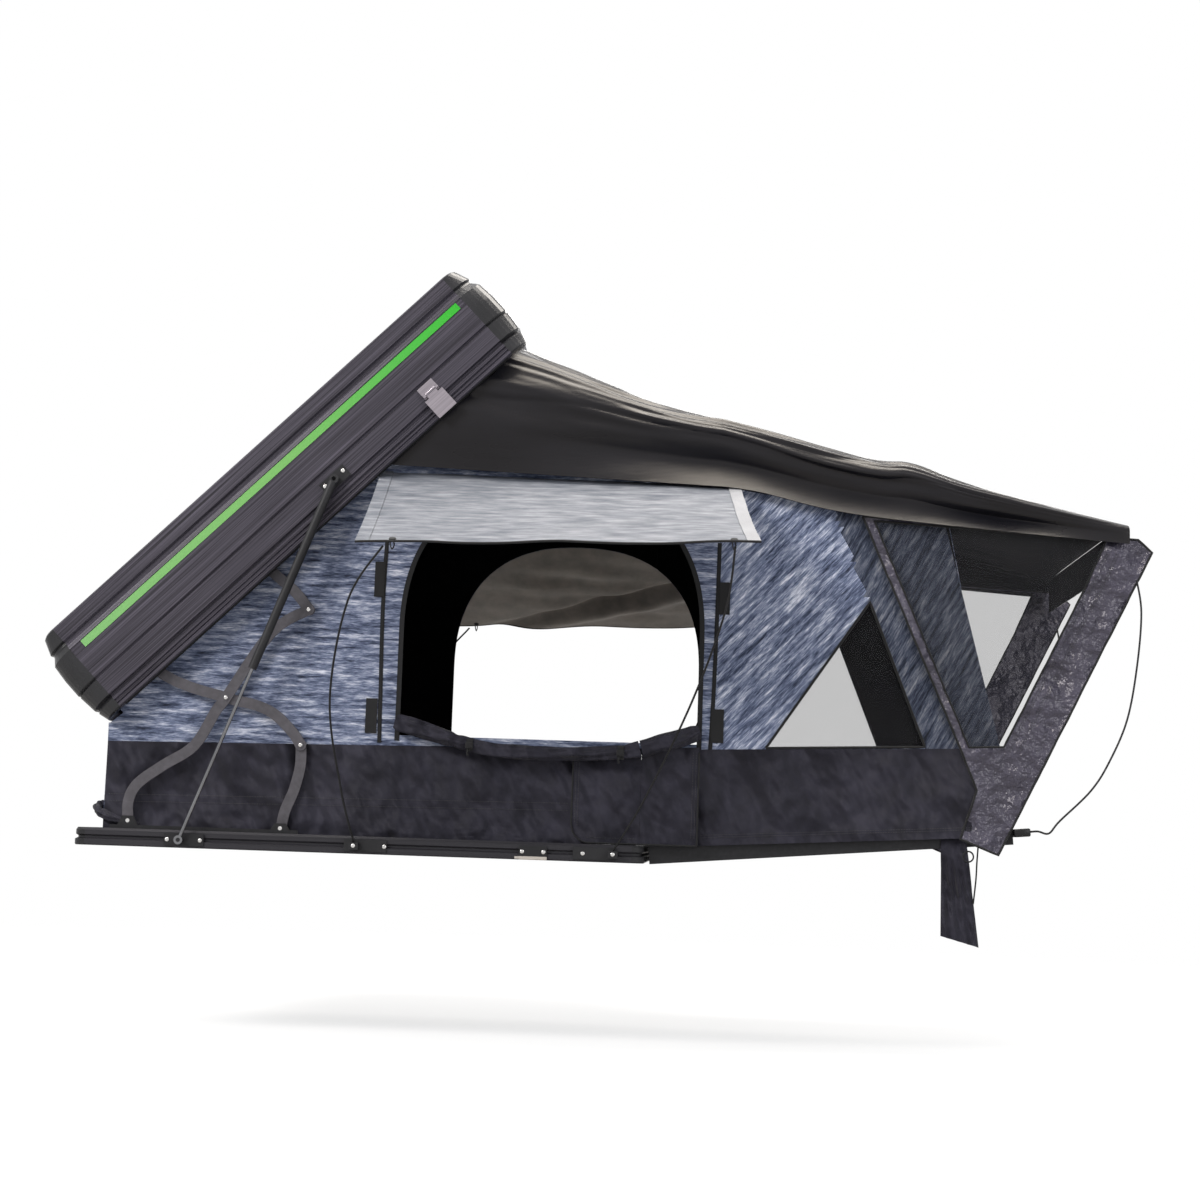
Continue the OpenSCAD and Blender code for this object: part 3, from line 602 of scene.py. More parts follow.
def tube(path, radius, sides=10):
    """A closed round tube; radius is a number or a function of (place along, angle)."""
    points = []
    count = len(path)
    for i, (p, side, up) in enumerate(ring_frames(path)):
        for k in range(sides):
            a = math.tau * k / sides
            r = radius(i / (count - 1), a) if callable(radius) else radius
            points.append(p + (side * math.cos(a) + up * math.sin(a)) * r)
    return points, lofted(count, sides)


def together(*shapes):
    """Several shapes as one."""
    points, faces = [], []
    for more, rest in shapes:
        first = len(points)
        points += list(more)
        faces += [tuple(i + first for i in face) for face in rest]
    return points, faces


def twin(shape, sign):
    """The near side's shape as it is, or mirrored for the far side."""
    if sign < 0:
        return shape
    points, faces = shape
    return [Vector((p[0], -p[1], p[2])) for p in points], [tuple(reversed(face)) for face in faces]


def block(low, high, bevel):
    """A box with rounded edges."""
    bm = bmesh.new()
    bmesh.ops.create_cube(bm, size=1)
    for v in bm.verts:
        v.co = Vector([mix(a, b, c + 0.5) for a, b, c in zip(low, high, v.co)])
    bmesh.ops.bevel(bm, geom=bm.edges[:], offset=bevel, segments=2, profile=0.5, affect="EDGES")
    bm.verts.index_update()
    shape = [v.co.copy() for v in bm.verts], [tuple(v.index for v in f.verts) for f in bm.faces]
    bm.free()
    return shape


def placed(shape, turn, at):
    return [turn @ Vector(p) + Vector(at) for p in shape[0]], shape[1]


def lathe(profile, segments, hexed=()):
    """Turns (radius, height) rows about z; rows in hexed are six-sided."""
    points = []
    for k, (r, h) in enumerate(profile):
        for s in range(segments):
            a = math.tau * s / segments
            cut = math.cos(math.pi / 6) / math.cos(a % (math.pi / 3) - math.pi / 6) if k in hexed else 1
            points.append(Vector((r * cut * math.cos(a), r * cut * math.sin(a), h)))
    return points, lofted(len(profile), segments)


def on_floor(shape):
    """A shape given along the fold-out floor, put in its place."""
    return placed(shape, Matrix.Rotation(-FLOOR_TILT, 3, "Y"), (HINGE[0], 0, HINGE[1]))


CUT_EDGE = math.radians(60)    # sharper edges than this aren't shaded smooth


def add(name, shape, materials, body, paint=None, backs=None):
    """Makes the piece, in metres, riding on its body; faces from backs on take the last material."""
    points, faces = shape
    mesh = bpy.data.meshes.new(name)
    mesh.from_pydata([Vector(p) * MM for p in points], [], faces)
    for mat in materials:
        mesh.materials.append(M[mat])
    mesh.update()
    for face in mesh.polygons:
        face.use_smooth = True
        if backs is not None and face.index >= backs:
            face.material_index = len(materials) - 1
        elif paint is not None:
            face.material_index = paint(face.center / MM)
    mesh.set_sharp_from_angle(angle=CUT_EDGE)
    obj = bpy.data.objects.new(name, mesh)
    bpy.context.scene.collection.objects.link(obj)
    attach(obj, body)
    return obj


# Own meshes for the cloth


def pack(obj, body):
    """Gives a base or floor cloth its own copy of its mesh."""
    if body == "base":
        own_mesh(obj)
    else:
        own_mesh(obj)


def fold_away(obj):
    """Gives an awning's piece its own copy of its mesh."""
    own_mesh(obj)


def add_cloth(name, shape, materials, body, node, paint=None, depth=CLOTH):
    """Closes a sheet and adds it, riding on its body, and hides the node it stands for."""
    closed, backs = thicken(shape, depth)
    obj = add(name, closed, materials, body, paint, backs)
    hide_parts(node)
    return obj


def cloth_pair(name, shape, materials, body, node, paint=None, depth=CLOTH):
    """A cloth piece on the near side and its twin on the far side."""
    for side, sign in SIDES:
        obj = add_cloth(f"{name}_{side}", twin(shape, sign), materials, body, node.format(side=side),
                        paint, depth)
        pack(obj, body)


def pair(name, shape, material, body, node=None):
    """A firm piece on the near side and its twin on the far side."""
    made = [add(f"{name}_{side}", twin(shape, sign), [material], body) for side, sign in SIDES]
    if node is not None:
        for obj in made:
            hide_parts(node)
    return made


def trim_pair(name, shape, material, body):
    """A sewn trim on both sides."""
    for obj in pair(name, shape, material, body):
        pack(obj, body)


# Cord: the short tie tail at the floor's end

CORD_D = 4
CORD_Y = -FLOOR_SIDE - 0.3 - CORD_D / 2
CORD_ROUTE = [(FLOOR_END - 80, CORD_Y, 98), (FLOOR_END - 82, CORD_Y, 62), (FLOOR_END - 84, CORD_Y - 0.7, 30),
              (FLOOR_END - 86, CORD_Y - 2.4, -12), (FLOOR_END - 92, CORD_Y - 4.6, -72)]


def add_cord():
    path = spline(CORD_ROUTE, 8)
    obj = add("tie_cord", tube(path, CORD_D / 2, 10), ["webbing"], "floor")
    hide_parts("tie_cords")
    pack(obj, "floor")


# Body walls

def wall_y(x, z):
    """The wall's outside, with soft puckers that stay clear of the lift arms."""
    return -WALL_Y - 1 - 2.6 * wobble(x / 150, z / 120, 3) - 1.2 * wobble(x / 46, z / 60, 7)


def arch_points():
    """The window's arch, from its left foot over to its right foot."""
    out = []
    for k in range(61):
        c, s = math.cos(math.pi * k / 60), math.sin(math.pi * k / 60)
        out.append((WIN_MIDDLE - math.copysign(WIN_HALF * abs(c) ** (2 / WIN_POWER), c),
                    WIN_SPRING + (WIN_TOP - WIN_SPRING) * max(0, s) ** (2 / WIN_POWER)))
    return out


def split_height():
    """Height of the window's arch where the cloth parts."""
    share = (SPLIT - WIN_MIDDLE) / WIN_HALF
    return WIN_SPRING + (WIN_TOP - WIN_SPRING) * (1 - share ** WIN_POWER) ** (1 / WIN_POWER)


WALL_TOP = 962       # the wall's height where the cloth parts
TRIANGLE = [(HINGE[0] + 350, 297), (FLOOR_END - 218, 312), (HINGE[0] + 602, 672)]


def left_outline():
    """The base's half of a side wall, from its low corner round the window and up the lid."""
    arch = [p for p in arch_points() if p[0] < SPLIT - 8]
    return ([(WALL_LOW_X, 250), (SPLIT, 270), (SPLIT, WIN_LOW), (WIN_LEFT, WIN_LOW)] + arch
            + [(SPLIT, split_height()), (SPLIT, WALL_TOP), lid_at(940, 28), lid_at(34, 28), lid_at(34, -5),
               (WALL_LOW_X, 307)])


def right_outline():
    """The fold-out half of a side wall."""
    arch = [p for p in arch_points() if p[0] > SPLIT + 8]
    return ([(SPLIT, 272), (PRINT_SEAM, 285), (FLOOR_END - 31, 315), (FLOOR_END - 178, 878),
             (HINGE[0] + 585, 900), (PRINT_SEAM, 956), (SPLIT, WALL_TOP), (SPLIT, split_height())] + arch
            + [(WIN_RIGHT, WIN_LOW), (SPLIT, WIN_LOW)])


def annex_print(c):
    """Which print a place on the annex wall has: level, slanted, or the end strip beside the mesh, whose
    darker copy of the print is painted shade of the roof.
    """
    (ax, az), (bx, bz) = TRIANGLE[1], TRIANGLE[2]
    if c.x > mix(ax, bx, (c.z - az) / (bz - az)) - 4:
        return 2
    return 1 if c.x > PRINT_SEAM else 0


def add_walls():
    cloth_pair("side_wall", sheet_shape(left_outline(), [], 17, wall_y), ["canvas", "liner"], "base",
               "wall_{side}")
    cloth_pair("annex_wall", sheet_shape(right_outline(), [TRIANGLE], 17, wall_y),
               ["canvas", "canvas_slant", "canvas_end_shaded", "liner"], "floor", "annex_walls",
               paint=annex_print)


def tape(path, width, lift, depth):
    """A closed tape of a depth along an (x, z) path, whose face stands lift off the wall."""
    line = [Vector((x, z, 0)) for x, z in path]
    points, faces = [], []
    for i, p in enumerate(line):
        t = (line[min(i + 1, len(line) - 1)] - line[max(i - 1, 0)]).normalized()
        for s in (0.5, -0.5):
            q = p + Vector((-t.y, t.x, 0)) * width * s
            points.append(Vector((q.x, wall_y(q.x, q.y) - lift, q.y)))
    for i in range(len(line) - 1):
        faces.append((2 * i, 2 * i + 1, 2 * i + 3, 2 * i + 2))
    return thicken((points, faces), depth)[0]


# Black skirt along the foot of the walls

PLEAT_Z = 128
PLEAT_RISE = 0.012   # per mm along the skirt


def skirt_y(x, z):
    """Loose cloth: quiet behind the arms, deeper folds further right, and one sewn pleat."""
    calm = clamp((x + 90) / 160)
    loose = math.sin(math.pi * clamp((z - 20) / 250))
    fold = wobble(x / 70, z / 260, 11) * mix(1.6, 5.5, calm) + wobble(x / 28, z / 90, 5) * mix(0.6, 1.6, calm)
    pleat = 1.6 * math.exp(-((z - PLEAT_Z - PLEAT_RISE * x) / 5) ** 2)
    bunch = math.exp(-((z - 58) / 17) ** 2) * (0.6 + 0.7 * wobble(x / 38, z / 30, 27)) * mix(5, 13, calm)
    return -WALL_Y - 3.4 - fold * (0.35 + 0.65 * loose) - pleat - max(0, bunch)


def skirt_top(x):
    return 268 + 0.015 * (x + 300)


def skirt_shape(x0, x1, columns, low, high, y_at):
    """Cloth from x0 to x1 between two edges."""
    def at(u, v):
        x = mix(x0, x1, u)
        z = mix(low(x), high(x), v)
        return x, y_at(x, z), z
    return grid(at, columns, 26)


def flap_low(x):
    """Lower edge of the loose flap, with its rounded corner."""
    round_r = 46
    near = max(0, FLAP_START + round_r - x)
    return 47 + round_r - math.sqrt(max(0, round_r ** 2 - near ** 2))


def flap_high(x):
    return 277 + 0.05 * (x - FLAP_START)


def flap_y(x, z):
    """The loose flap hangs out further down, in long folds."""
    hang = clamp((278 - z) / 230)
    return (-WALL_Y - 13 - 9 * hang - 9 * wobble(x / 80, z / 240, 21) * (0.3 + 0.7 * hang)
            - 2.2 * wobble(x / 30, z / 80, 9))


def annex_low(x):
    return 48 + 0.062 * (x - FLAP_END - 2)


def annex_high(x):
    return 288 + 0.035 * (x - FLAP_END - 2)


def annex_y(x, z):
    """The annex's skirt, loose at its foot, with a sewn hem."""
    loose = clamp((annex_high(x) - z) / 240)
    return (-WALL_Y - 3.6 - 5 * loose - 3.4 * wobble(x / 90, z / 260, 31) * (0.25 + loose)
            - 1.0 * wobble(x / 30, z / 90, 15) - 1.2 * math.exp(-((z - annex_low(x) - 22) / 4) ** 2))


def add_skirts():
    base_rests, end_rests = ["base_side_rails", "side_wall_{side}"], ["floor_side_rails", "annex_wall_{side}"]
    base_end, annex_start, annex_end = FLAP_START + 60, FLAP_END - 30, FLOOR_END - 33
    rows = (
        ("skirt", skirt_shape(WALL_LOW_X, base_end, 90, lambda x: CLOTH_FOOT, skirt_top, skirt_y),
         "base", "skirts", (1260, 260), ["base_floor", "side_wall_{side}"]),
        ("hinge_flap", skirt_shape(FLAP_START, SPLIT, 34, flap_low, flap_high, flap_y),
         "base", "skirt_flaps", (190, 250), base_rests),
        ("hinge_flap_end", skirt_shape(SPLIT + 0.6, FLAP_END, 30, flap_low, flap_high, flap_y),
         "floor", "skirt_flaps", (160, 260), end_rests),
        ("annex_skirt", skirt_shape(annex_start, annex_end, 80, annex_low, annex_high, annex_y),
         "floor", "annex_skirts", (800, 260), end_rests))
    for name, shape, body, node, flat, rests in rows:
        cloth_pair(name, shape, ["skirt", "liner"], body, node)


# Roof cloth

FLY_Y = WALL_Y + 34
FLY_END = FLOOR_END + 278
FLY_BOX = 0.3        # how square the roof's section is
HEM_SHARE = 0.36     # share of the rise that the flared hem takes
FLY_SAG = 120        # of the slope behind the lid
FLANK_IN = 44        # the most that the flank is drawn in
# Heights along the roof, by distance from the hinge
RIDGE = ((-286, 1300), (8, 1214), (220, 1151), (592, 1057), (700, 1046), (868, 986), (1241, 894))
EAVES = ((-626, 974), (-87, 958), (263, 947), (578, 887), (1241, 833))
ridge, eaves = (smooth_table([(HINGE[0] + dx, z) for dx, z in table]) for table in (RIDGE, EAVES))


def fly_arch(s):
    """Angle, half-width and share of the rise across the roof, s from -1 to 1, closer at the eaves."""
    t = math.sin(math.pi / 2 * s)
    across = abs(math.sin(math.pi / 2 * t)) ** FLY_BOX
    return t, math.copysign(FLY_Y * across, t), max(0, math.cos(math.pi / 2 * t)) ** FLY_BOX


def flank_in(x, f):
    """How far the roof's flank is drawn in above its flared hem."""
    along = clamp((x - 250) / 600) * clamp((1880 - x) / 300)
    flare = min(1, f / HEM_SHARE)
    return FLANK_IN * along * (1 - (1 - flare) ** 1.25) * max(0, 1 - max(0, f - HEM_SHARE) / 0.5) ** 1.5


def fly_bare(x_share, s, rear):
    """The roof before its folds: front from the lid's edge to the split, rear from there to the end."""
    _, y, f = fly_arch(s)
    ax, az = lid_at(mix(960, LID_LENGTH + 8, f), mix(-2, LID_LIP - 6, max(0, 4 * f - 3)))
    bz = mix(eaves(PRINT_SEAM), ridge(PRINT_SEAM), f)
    x = mix(SPLIT, FLY_END, x_share) if rear else mix(ax, SPLIT, x_share)
    y -= math.copysign(flank_in(x, f), y)
    if x > PRINT_SEAM:
        return Vector((x, y, mix(eaves(x), ridge(x), f)))
    u = (x - ax) / (PRINT_SEAM - ax)
    return Vector((x, y, mix(az, bz, u) - FLY_SAG * f * u * u * (1 - u)))


def fly_fold(p, t):
    """Depth of the folds that run from the lid's edge to the porch's corner."""
    reach = clamp((p.x - 40) / 180) * clamp((1900 - p.x) / 400)
    flank = clamp((abs(t) - 0.25) / 0.4)
    near_edge = clamp((math.cos(math.pi / 2 * t) ** FLY_BOX - 0.1) / 0.4)
    slack = 2.4 * wobble(p.x / 460, t * 2.4, 2)
    run = 9 * (abs(math.sin(15 * t + slack)) ** 0.7 - 0.6) + 3 * math.sin(37 * t + 1.7 * slack)
    fine = wobble(p.x / 300, t * 16, 4) * 6 + wobble(p.x / 90, t * 26, 8) * 1.2
    return (run * flank + fine) * reach * near_edge


def fly_shape(rear, nu, nv):
    """The folded roof; one spare row past each end keeps both halves' folds in line where they part."""
    spare, faces = grid(lambda u, v: fly_bare(mix(-1 / nu, 1 + 1 / nu, u), 2 * v - 1, rear), nu + 2, nv)
    outward = normals(spare, faces)
    points = []
    for k in range(nv + 1, len(spare) - nv - 1):
        t = fly_arch(2 * (k % (nv + 1)) / nv - 1)[0]
        points.append(spare[k] + outward[k] * fly_fold(spare[k], t))
    return points, grid(lambda u, v: (0, 0, 0), nu, nv)[1]


ROOF_HALVES = (("roof_front", False, 44, "base", "fly_front", (1000, 2100)),
               ("roof_rear", True, 66, "floor", "fly_rear", (1300, 2000)))


def add_fly():
    for name, rear, columns, body, node, flat in ROOF_HALVES:
        shape = fly_shape(rear, columns, 150)
        pack(add_cloth(name, shape, ["fly", "liner"], body, node), body)


# Awnings with their rods

AWN_REACH = 430


def awning_at(u, v, slack):
    """The awning's top; slack is the depth of its long diagonal crease."""
    x = mix(mix(13, 21, v), mix(928, 974, v), u)
    z = mix(mix(971, 956, u), mix(733, 758, u), v)
    z += -2 * math.sin(math.pi * u) * v * v - 10 * math.sin(math.pi * v)
    off = v - 0.98 + 0.84 * (u - 0.2)
    crease = math.exp(-(off / 0.05) ** 2) - 0.6 * math.exp(-((off - 0.11) / 0.06) ** 2)
    pinned = 4 * v * (1 - v) * math.sin(math.pi * u)
    z += slack * (crease * (0.35 + pinned) + 0.7 * wobble(u * 5, v * 6, 41) * pinned)
    z += 2 * math.sin(5 * math.pi * u) * v + 2.2 * wobble(u * 7, v * 2.2, 41) + 1.4 * wobble(u * 3, v * 14, 6)
    return x, -WALL_Y - 2 - AWN_REACH * v, z


ROD_LEFT = [(-5, -665, 28.4), (-33, -730, 160), (-52, -840, 371), (0, -960, 600), (86, -1015.8, 726)]
ROD_RIGHT = [(638, -665, 28.4), (715, -730, 160), (822, -850, 390), (895, -960, 600), (914, -1015.8, 748)]
# Half along, half out, then a plane given for each quarter of an awning, for the near side
AWN_FOLDS = ((0, 0, (0.02, -0.34, 0.94), 0.31), (0, 1, (0.0, -0.60, 0.80), 0.41),
             (1, 0, (0.305, -0.354, 0.884), 0.43), (1, 1, (0.227, -0.879, 0.42), -0.198))
ROD_FOLDS = (("left", ROD_LEFT, (0.07, -0.70, 0.71), 0.486),
             ("right", ROD_RIGHT, (0.463, -0.607, 0.645), 0.717))
AWN_SLACK = {"near": 3, "far": 24}
AWN_BAND = 0.034     # share of the length that the doubled end takes
AWN_EYES = (0.092, 0.935)


def awning_end_hem(i, j, slack):
    """The doubled band of cloth at one quarter's end."""
    first, last = mix(0, 1 - AWN_BAND, i), mix(AWN_BAND, 1, i)
    points, faces = grid(lambda u, v: awning_at(mix(first, last, u), (j + 1 - v) / 2, slack), 4, 22)
    return thicken(([p + Vector((0, -1.0, 2.4)) for p in points], faces), CLOTH)[0]


def awning_trim(i, slack):
    """The outer quarter's dark corded edge, with its eyelet and a loop of elastic at the rod."""
    edge = [Vector(awning_at((i + k / 30) / 2, 1, slack)) for k in range(31)]
    x, y, z = awning_at(AWN_EYES[i], 0.975, slack)
    eye = lathe([(4, -2.2), (8, -2.2), (9, 0), (8, 3.2), (4, 3.2)], 20)
    loop = [(x, y, z - 2), (x - 4, y - 8, z - 10), (x, y - 4, z - 24), (x + 4, y + 4, z - 12), (x, y, z - 2)]
    return together(tube(edge, 3.2, 8), placed(eye, Matrix.Rotation(0.45, 3, "X"), (x, y, z)),
                    tube(spline(loop, 5), 1.6, 6))


def add_awning_quarter(side, sign, i, j):
    """One quarter of the cloth with its hems, as separate pieces."""
    slack = AWN_SLACK[side]
    quarter = grid(lambda u, v: awning_at((i + u) / 2, (j + 1 - v) / 2, slack), 48, 22)
    obj = add_cloth(f"awning_{side}_{i}{j}", twin(quarter, sign), ["awning", "awning_back_shaded"], "base",
                    f"awning_{side}")
    hem = twin(awning_end_hem(i, j, slack), sign)
    face = "awning_band" if i else "awning"
    made = [obj, add(f"awning_hem_{side}_{i}{j}", hem, [face], "base")]
    if j == 1:
        trim = twin(awning_trim(i, slack), sign)
        made.append(add(f"awning_edge_{side}_{i}", trim, ["webbing"], "base"))
    return made


def add_awnings():
    """Each awning is one cloth, built as four quarters."""
    for side, sign in SIDES:
        for i, j, axis, reach in AWN_FOLDS:
            for obj in add_awning_quarter(side, sign, i, j):
                fold_away(obj)
        for end, route, axis, reach in ROD_FOLDS:
            rod = twin(tube(spline(route, 10), 2.7, 10), sign)
            obj = add(f"awning_rod_{end}_{side}", rod, ["fibreglass"], "base")
            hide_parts("awning_rods")
            fold_away(obj)


# Rolled window cover

ROLL_ROUTE = [(WIN_LEFT - 8, -615.4, 332), (WIN_LEFT + 105, -621.8, 303), (WIN_LEFT + 235, -627.8, 270),
              (WIN_LEFT + 405, -630.8, 266), (WIN_RIGHT - 180, -631.8, 274), (WIN_RIGHT - 70, -628.8, 306),
              (WIN_RIGHT + 4, -615.4, 332)]
ROLL_TIES = (272, 648)


def roll_part(first, last):
    """The rolled cover between two places along x: oval, pleated and drawn tight at its ties."""
    path = [p for p in spline(ROLL_ROUTE, 30) if first <= p.x <= last]

    def radius(s, a):
        x = mix(path[0].x, path[-1].x, s)
        end = min(x - WIN_LEFT + 8, WIN_RIGHT + 4 - x)
        tall = mix(22, 16.5, clamp((end - 90) / 130)) * min(1, 0.75 + end / 90)
        deep = 16 * min(1, 0.8 + end / 120)
        oval = 1 / math.hypot(math.cos(a) / deep, math.sin(a) / tall)
        pleat = 2.0 * math.sin(5 * a + x / 46) + 1.8 * wobble(x / 34, math.cos(a) * 1.6, math.sin(a) * 1.6)
        tied = 1 - 0.20 * sum(math.exp(-((x - tie) / 12) ** 2) for tie in ROLL_TIES)
        return (oval + pleat) * tied
    return tube(path, radius, 30)


def roll_ties():
    """A webbing loop round the roll at each tie, with its toggle hanging below."""
    sides = 24
    angles = [math.tau * k / sides for k in range(sides)]
    faces = [(k, (k + 1) % sides, sides + (k + 1) % sides, sides + k) for k in range(sides)]
    shapes = []
    for tie in ROLL_TIES:
        x, y, z = min(spline(ROLL_ROUTE, 30), key=lambda q: abs(q.x - tie))
        rings = [Vector((x + dx, y + 15.4 * math.cos(a), z + 16 * math.sin(a)))
                 for dx in (-8, 8) for a in angles]
        tail = spline([(x - 2, y - 16, z - 8), (x - 5, y - 18, z - 18), (x - 3, y - 17, z - 28)], 5)
        toggle = block((x - 10, y - 22, z - 9), (x + 9, y - 15, z + 6), 2)
        shapes += [thicken((rings, faces), -1.6)[0], tube(tail, 2.2, 8), toggle]
    return together(*shapes)


def add_rolls():
    for side, sign in SIDES:
        for name, body, first, last in (("window_roll", "base", 0, SPLIT),
                                        ("window_roll_end", "floor", SPLIT, WIN_PAST)):
            obj = add(f"{name}_{side}", twin(roll_part(first, last), sign), ["skirt"], body)
            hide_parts("window_rolls")
            pack(obj, body)
    trim_pair("roll_tie", roll_ties(), "webbing", "base")


# Porch: side wings with mesh, end wall, end rods, one hanging flap

WING_Y = WALL_Y + 14
WING = [(HINGE[0] + 578, 887), (FLOOR_END - 130, 307), (FLOOR_END - 89, 208), (FLOOR_END - 128, 87),
        (FLOOR_END - 34, 50), (FLOOR_END + 337, 814), (FLOOR_END + 302, 846)]
WING_HOLE = [(HINGE[0] + 608, 876), (FLOOR_END - 110, 314), (FLOOR_END - 24, 318), (FLOOR_END + 169, 715),
             (FLOOR_END + 224, 844)]


def wing_y(x, z):
    """Crumpled border cloth, smooth only where it is sewn under the roof."""
    edge = clamp((900 - z) / 120)
    lean = x - 0.47 * z
    crumple = 8 * wobble(x / 60, z / 46, 51) + 6 * wobble(lean / 34, z / 26, 13)
    crumple += 2.2 * wobble(x / 16, z / 16, 19)
    return -WING_Y - crumple * edge


def wing_mesh_y(x, z):
    return -WING_Y + 1.5 - 2.0 * wobble(x / 160, z / 160, 17)


def grown(polygon, out):
    """The polygon with its corners pushed away from its middle."""
    mx = sum(p[0] for p in polygon) / len(polygon)
    mz = sum(p[1] for p in polygon) / len(polygon)
    corners = []
    for x, z in polygon:
        push = out / math.hypot(x - mx, z - mz)
        corners.append((x + (x - mx) * push, z + (z - mz) * push))
    return corners


def edge_piping(polygon, y_at, radius):
    """A corded edge all round a polygon."""
    ring = closed_even(polygon, 14)
    path = [Vector((x, y_at(x, z), z)) for x, z in ring + ring[:1]]
    return tube(path, radius, 8)


def add_porch():
    cloth_pair("porch_wing", sheet_shape(WING, [WING_HOLE], 15, wing_y), ["wing", "wing"], "floor",
               "wing_borders")
    cloth_pair("porch_mesh", sheet_shape(grown(WING_HOLE, 8), [], 26, wing_mesh_y), ["mesh", "mesh"], "floor",
               "mesh_panels", depth=NETTING)
    cloth_pair("triangle_mesh", sheet_shape(grown(TRIANGLE, 10), [], 26, lambda x, z: wall_y(x, z) + 2.6),
               ["mesh", "mesh"], "floor", "mesh_panels",
               depth=NETTING)
    edge = edge_piping(TRIANGLE, lambda x, z: wall_y(x, z) - 0.6, 3.4)
    trim_pair("triangle_piping", edge, "webbing", "floor")
    edges = together(edge_piping(WING, wing_y, 3.0), edge_piping(WING_HOLE, wing_y, 2.6))
    trim_pair("wing_piping", edges, "webbing", "floor")


def roof_over(x, y):
    """Height of the bare roof over a place."""
    share = (1 - (abs(y) / FLY_Y) ** (2 / FLY_BOX)) ** (FLY_BOX / 2)
    return mix(eaves(x), ridge(x), share)


def end_wall_at(u, v):
    """The wall behind the porch, drawn in at its top to stay under the roof's flank."""
    top_x = FLOOR_END - 185
    x = mix(top_x, FLOOR_END - 23, u) + 2 * wobble(u * 5, v * 6, 61) + wobble(u * 12, v * 17, 3)
    y = mix(-WALL_Y + 2.5, WALL_Y - 2.5, v)
    drawn = 1 - 0.03 * clamp((0.25 - u) / 0.15)
    return x, y * drawn, mix(roof_over(top_x, y) - 12, 129, u)


VALANCE_LOW = 785


def valance_at(u, v):
    """The strip that hangs across the roof's far end."""
    y = mix(-WALL_Y + 8, WALL_Y - 8, v)
    top = roof_over(FLY_END - 4, y) - 10
    return FLY_END - 6 + 3 * wobble(y / 60, u * 2, 67) * u, y, mix(top, VALANCE_LOW, u)


def low_end_at(u, v):
    """The wall under the lid's low end."""
    y = mix(WALL_Y - 2, -WALL_Y + 2, u)
    z = mix(CLOTH_FOOT, 309, v)
    return WALL_LOW_X - 2 - 2.2 * wobble(y / 80, z / 150, 71) * math.sin(math.pi * v), y, z


END_CLOTHS = (
    ("porch_end_wall", end_wall_at, (40, 64), "canvas", "floor", "annex_end_wall", (1190, 1000),
     "floor_end_rails"),
    ("porch_valance", valance_at, (10, 90), "fly", "floor", "fly_rear", (1190, 112), "roof_rear"),
    ("low_end_wall", low_end_at, (90, 24), "canvas", "base", "end_wall_low", (1205, 295), "base_floor"))


def add_end_cloths():
    for name, at, cells, face, body, node, flat, rest in END_CLOTHS:
        shape = grid(at, *cells)
        pack(add_cloth(name, shape, [face, "liner"], body, node), body)


END_ROD = [(FLOOR_END + 27, -615.8, 108), (FLOOR_END + 60, -615.8, 112), (FLOOR_END + 88, -616.8, 108),
           (FLOOR_END + 114, -618.8, 139), (FLOOR_END + 190, -621.8, 217), (FLOOR_END + 236, -622.8, 294),
           (FLOOR_END + 277, -622.8, 397), (FLOOR_END + 300, -621.8, 531), (FLOOR_END + 310, -617.8, 662),
           (FLOOR_END + 299, -612.5, 744)]


def end_socket():
    """The rod's clip on the floor's end rail."""
    low, high = (FLOOR_FAR + 0.2, -621.8, FLOOR_TOP - 33), (FLOOR_FAR + 40, -548, FLOOR_TOP - 12.8)
    return on_floor(block(low, high, 4))


def flap_at(u, v):
    """A gathered tail of cloth, narrow at the rail and wider at its slanted lower edge."""
    x = mix(FLOOR_END - 174 + 3 * v, FLOOR_END - 113 + 36 * v, u)
    gather = 2.6 * math.sin(24 * u - 5 * v + 3) + 2.0 * wobble(u * 7 - 2 * v, v * 3, 81)
    return x, -FLOOR_SIDE - 4.3 - gather * min(1, 3 * v) - 2 * v, mix(90 + 8 * u, -153 - 25 * u, v)


def add_porch_ends():
    rod = together(tube(spline(END_ROD, 9), 2.5, 10), end_socket())
    for obj in pair("end_rod", rod, "fibreglass", "floor", "end_rods"):
        pack(obj, "floor")
    flap = grid(lambda u, v: flap_at(u, 1 - v), 44, 40)
    pack(add_cloth("end_flap", flap, ["skirt"], "floor", "end_flaps",
                   depth=1.4), "floor")


# Mattresses

def mattress(x0, x1, half, z0, z1, nu, nv):
    """A closed crowned pad with sewn channels across it, as points in the xyz of its floor."""
    def top(u, v):
        edge = min(1, 10 * min(u, 1 - u)) * min(1, 10 * min(v, 1 - v))
        crown = math.sin(math.pi / 2 * edge)
        channel = 3.2 * math.exp(-((u * 4 % 1 - 0.5) / 0.035) ** 2) * edge
        waist = 5 * math.sin(math.pi * u) * (1 if v in (0, 1) else 0)
        y = mix(-half, half, v)
        return (mix(x0, x1, u), y - math.copysign(waist, y), z0 + (z1 - z0) * (0.5 + 0.5 * crown) - channel
                + 0.8 * wobble(u * 9, v * 9, 91) * edge)
    points, faces = grid(top, nu, nv)
    return close_behind(points, [Vector((p.x, p.y, z0)) for p in points], faces)[0]


def add_mattresses():
    base = mattress(-480, 615, WALL_Y - 44, 24.2, 56, 64, 40)
    end = mattress(FLOOR_NEAR + 34, FLOOR_FAR - 40, FLOOR_SIDE - 38, FLOOR_TOP - 13.8, -5, 56, 40)
    for name, shape, body, node in (("base_pad", base, "base", "base_mattress"),
                                    ("end_pad", on_floor(end), "floor", "floor_mattress")):
        obj = add(name, shape, ["cover"], body)
        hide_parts(node)


# Bolts with domed heads and six-sided sockets

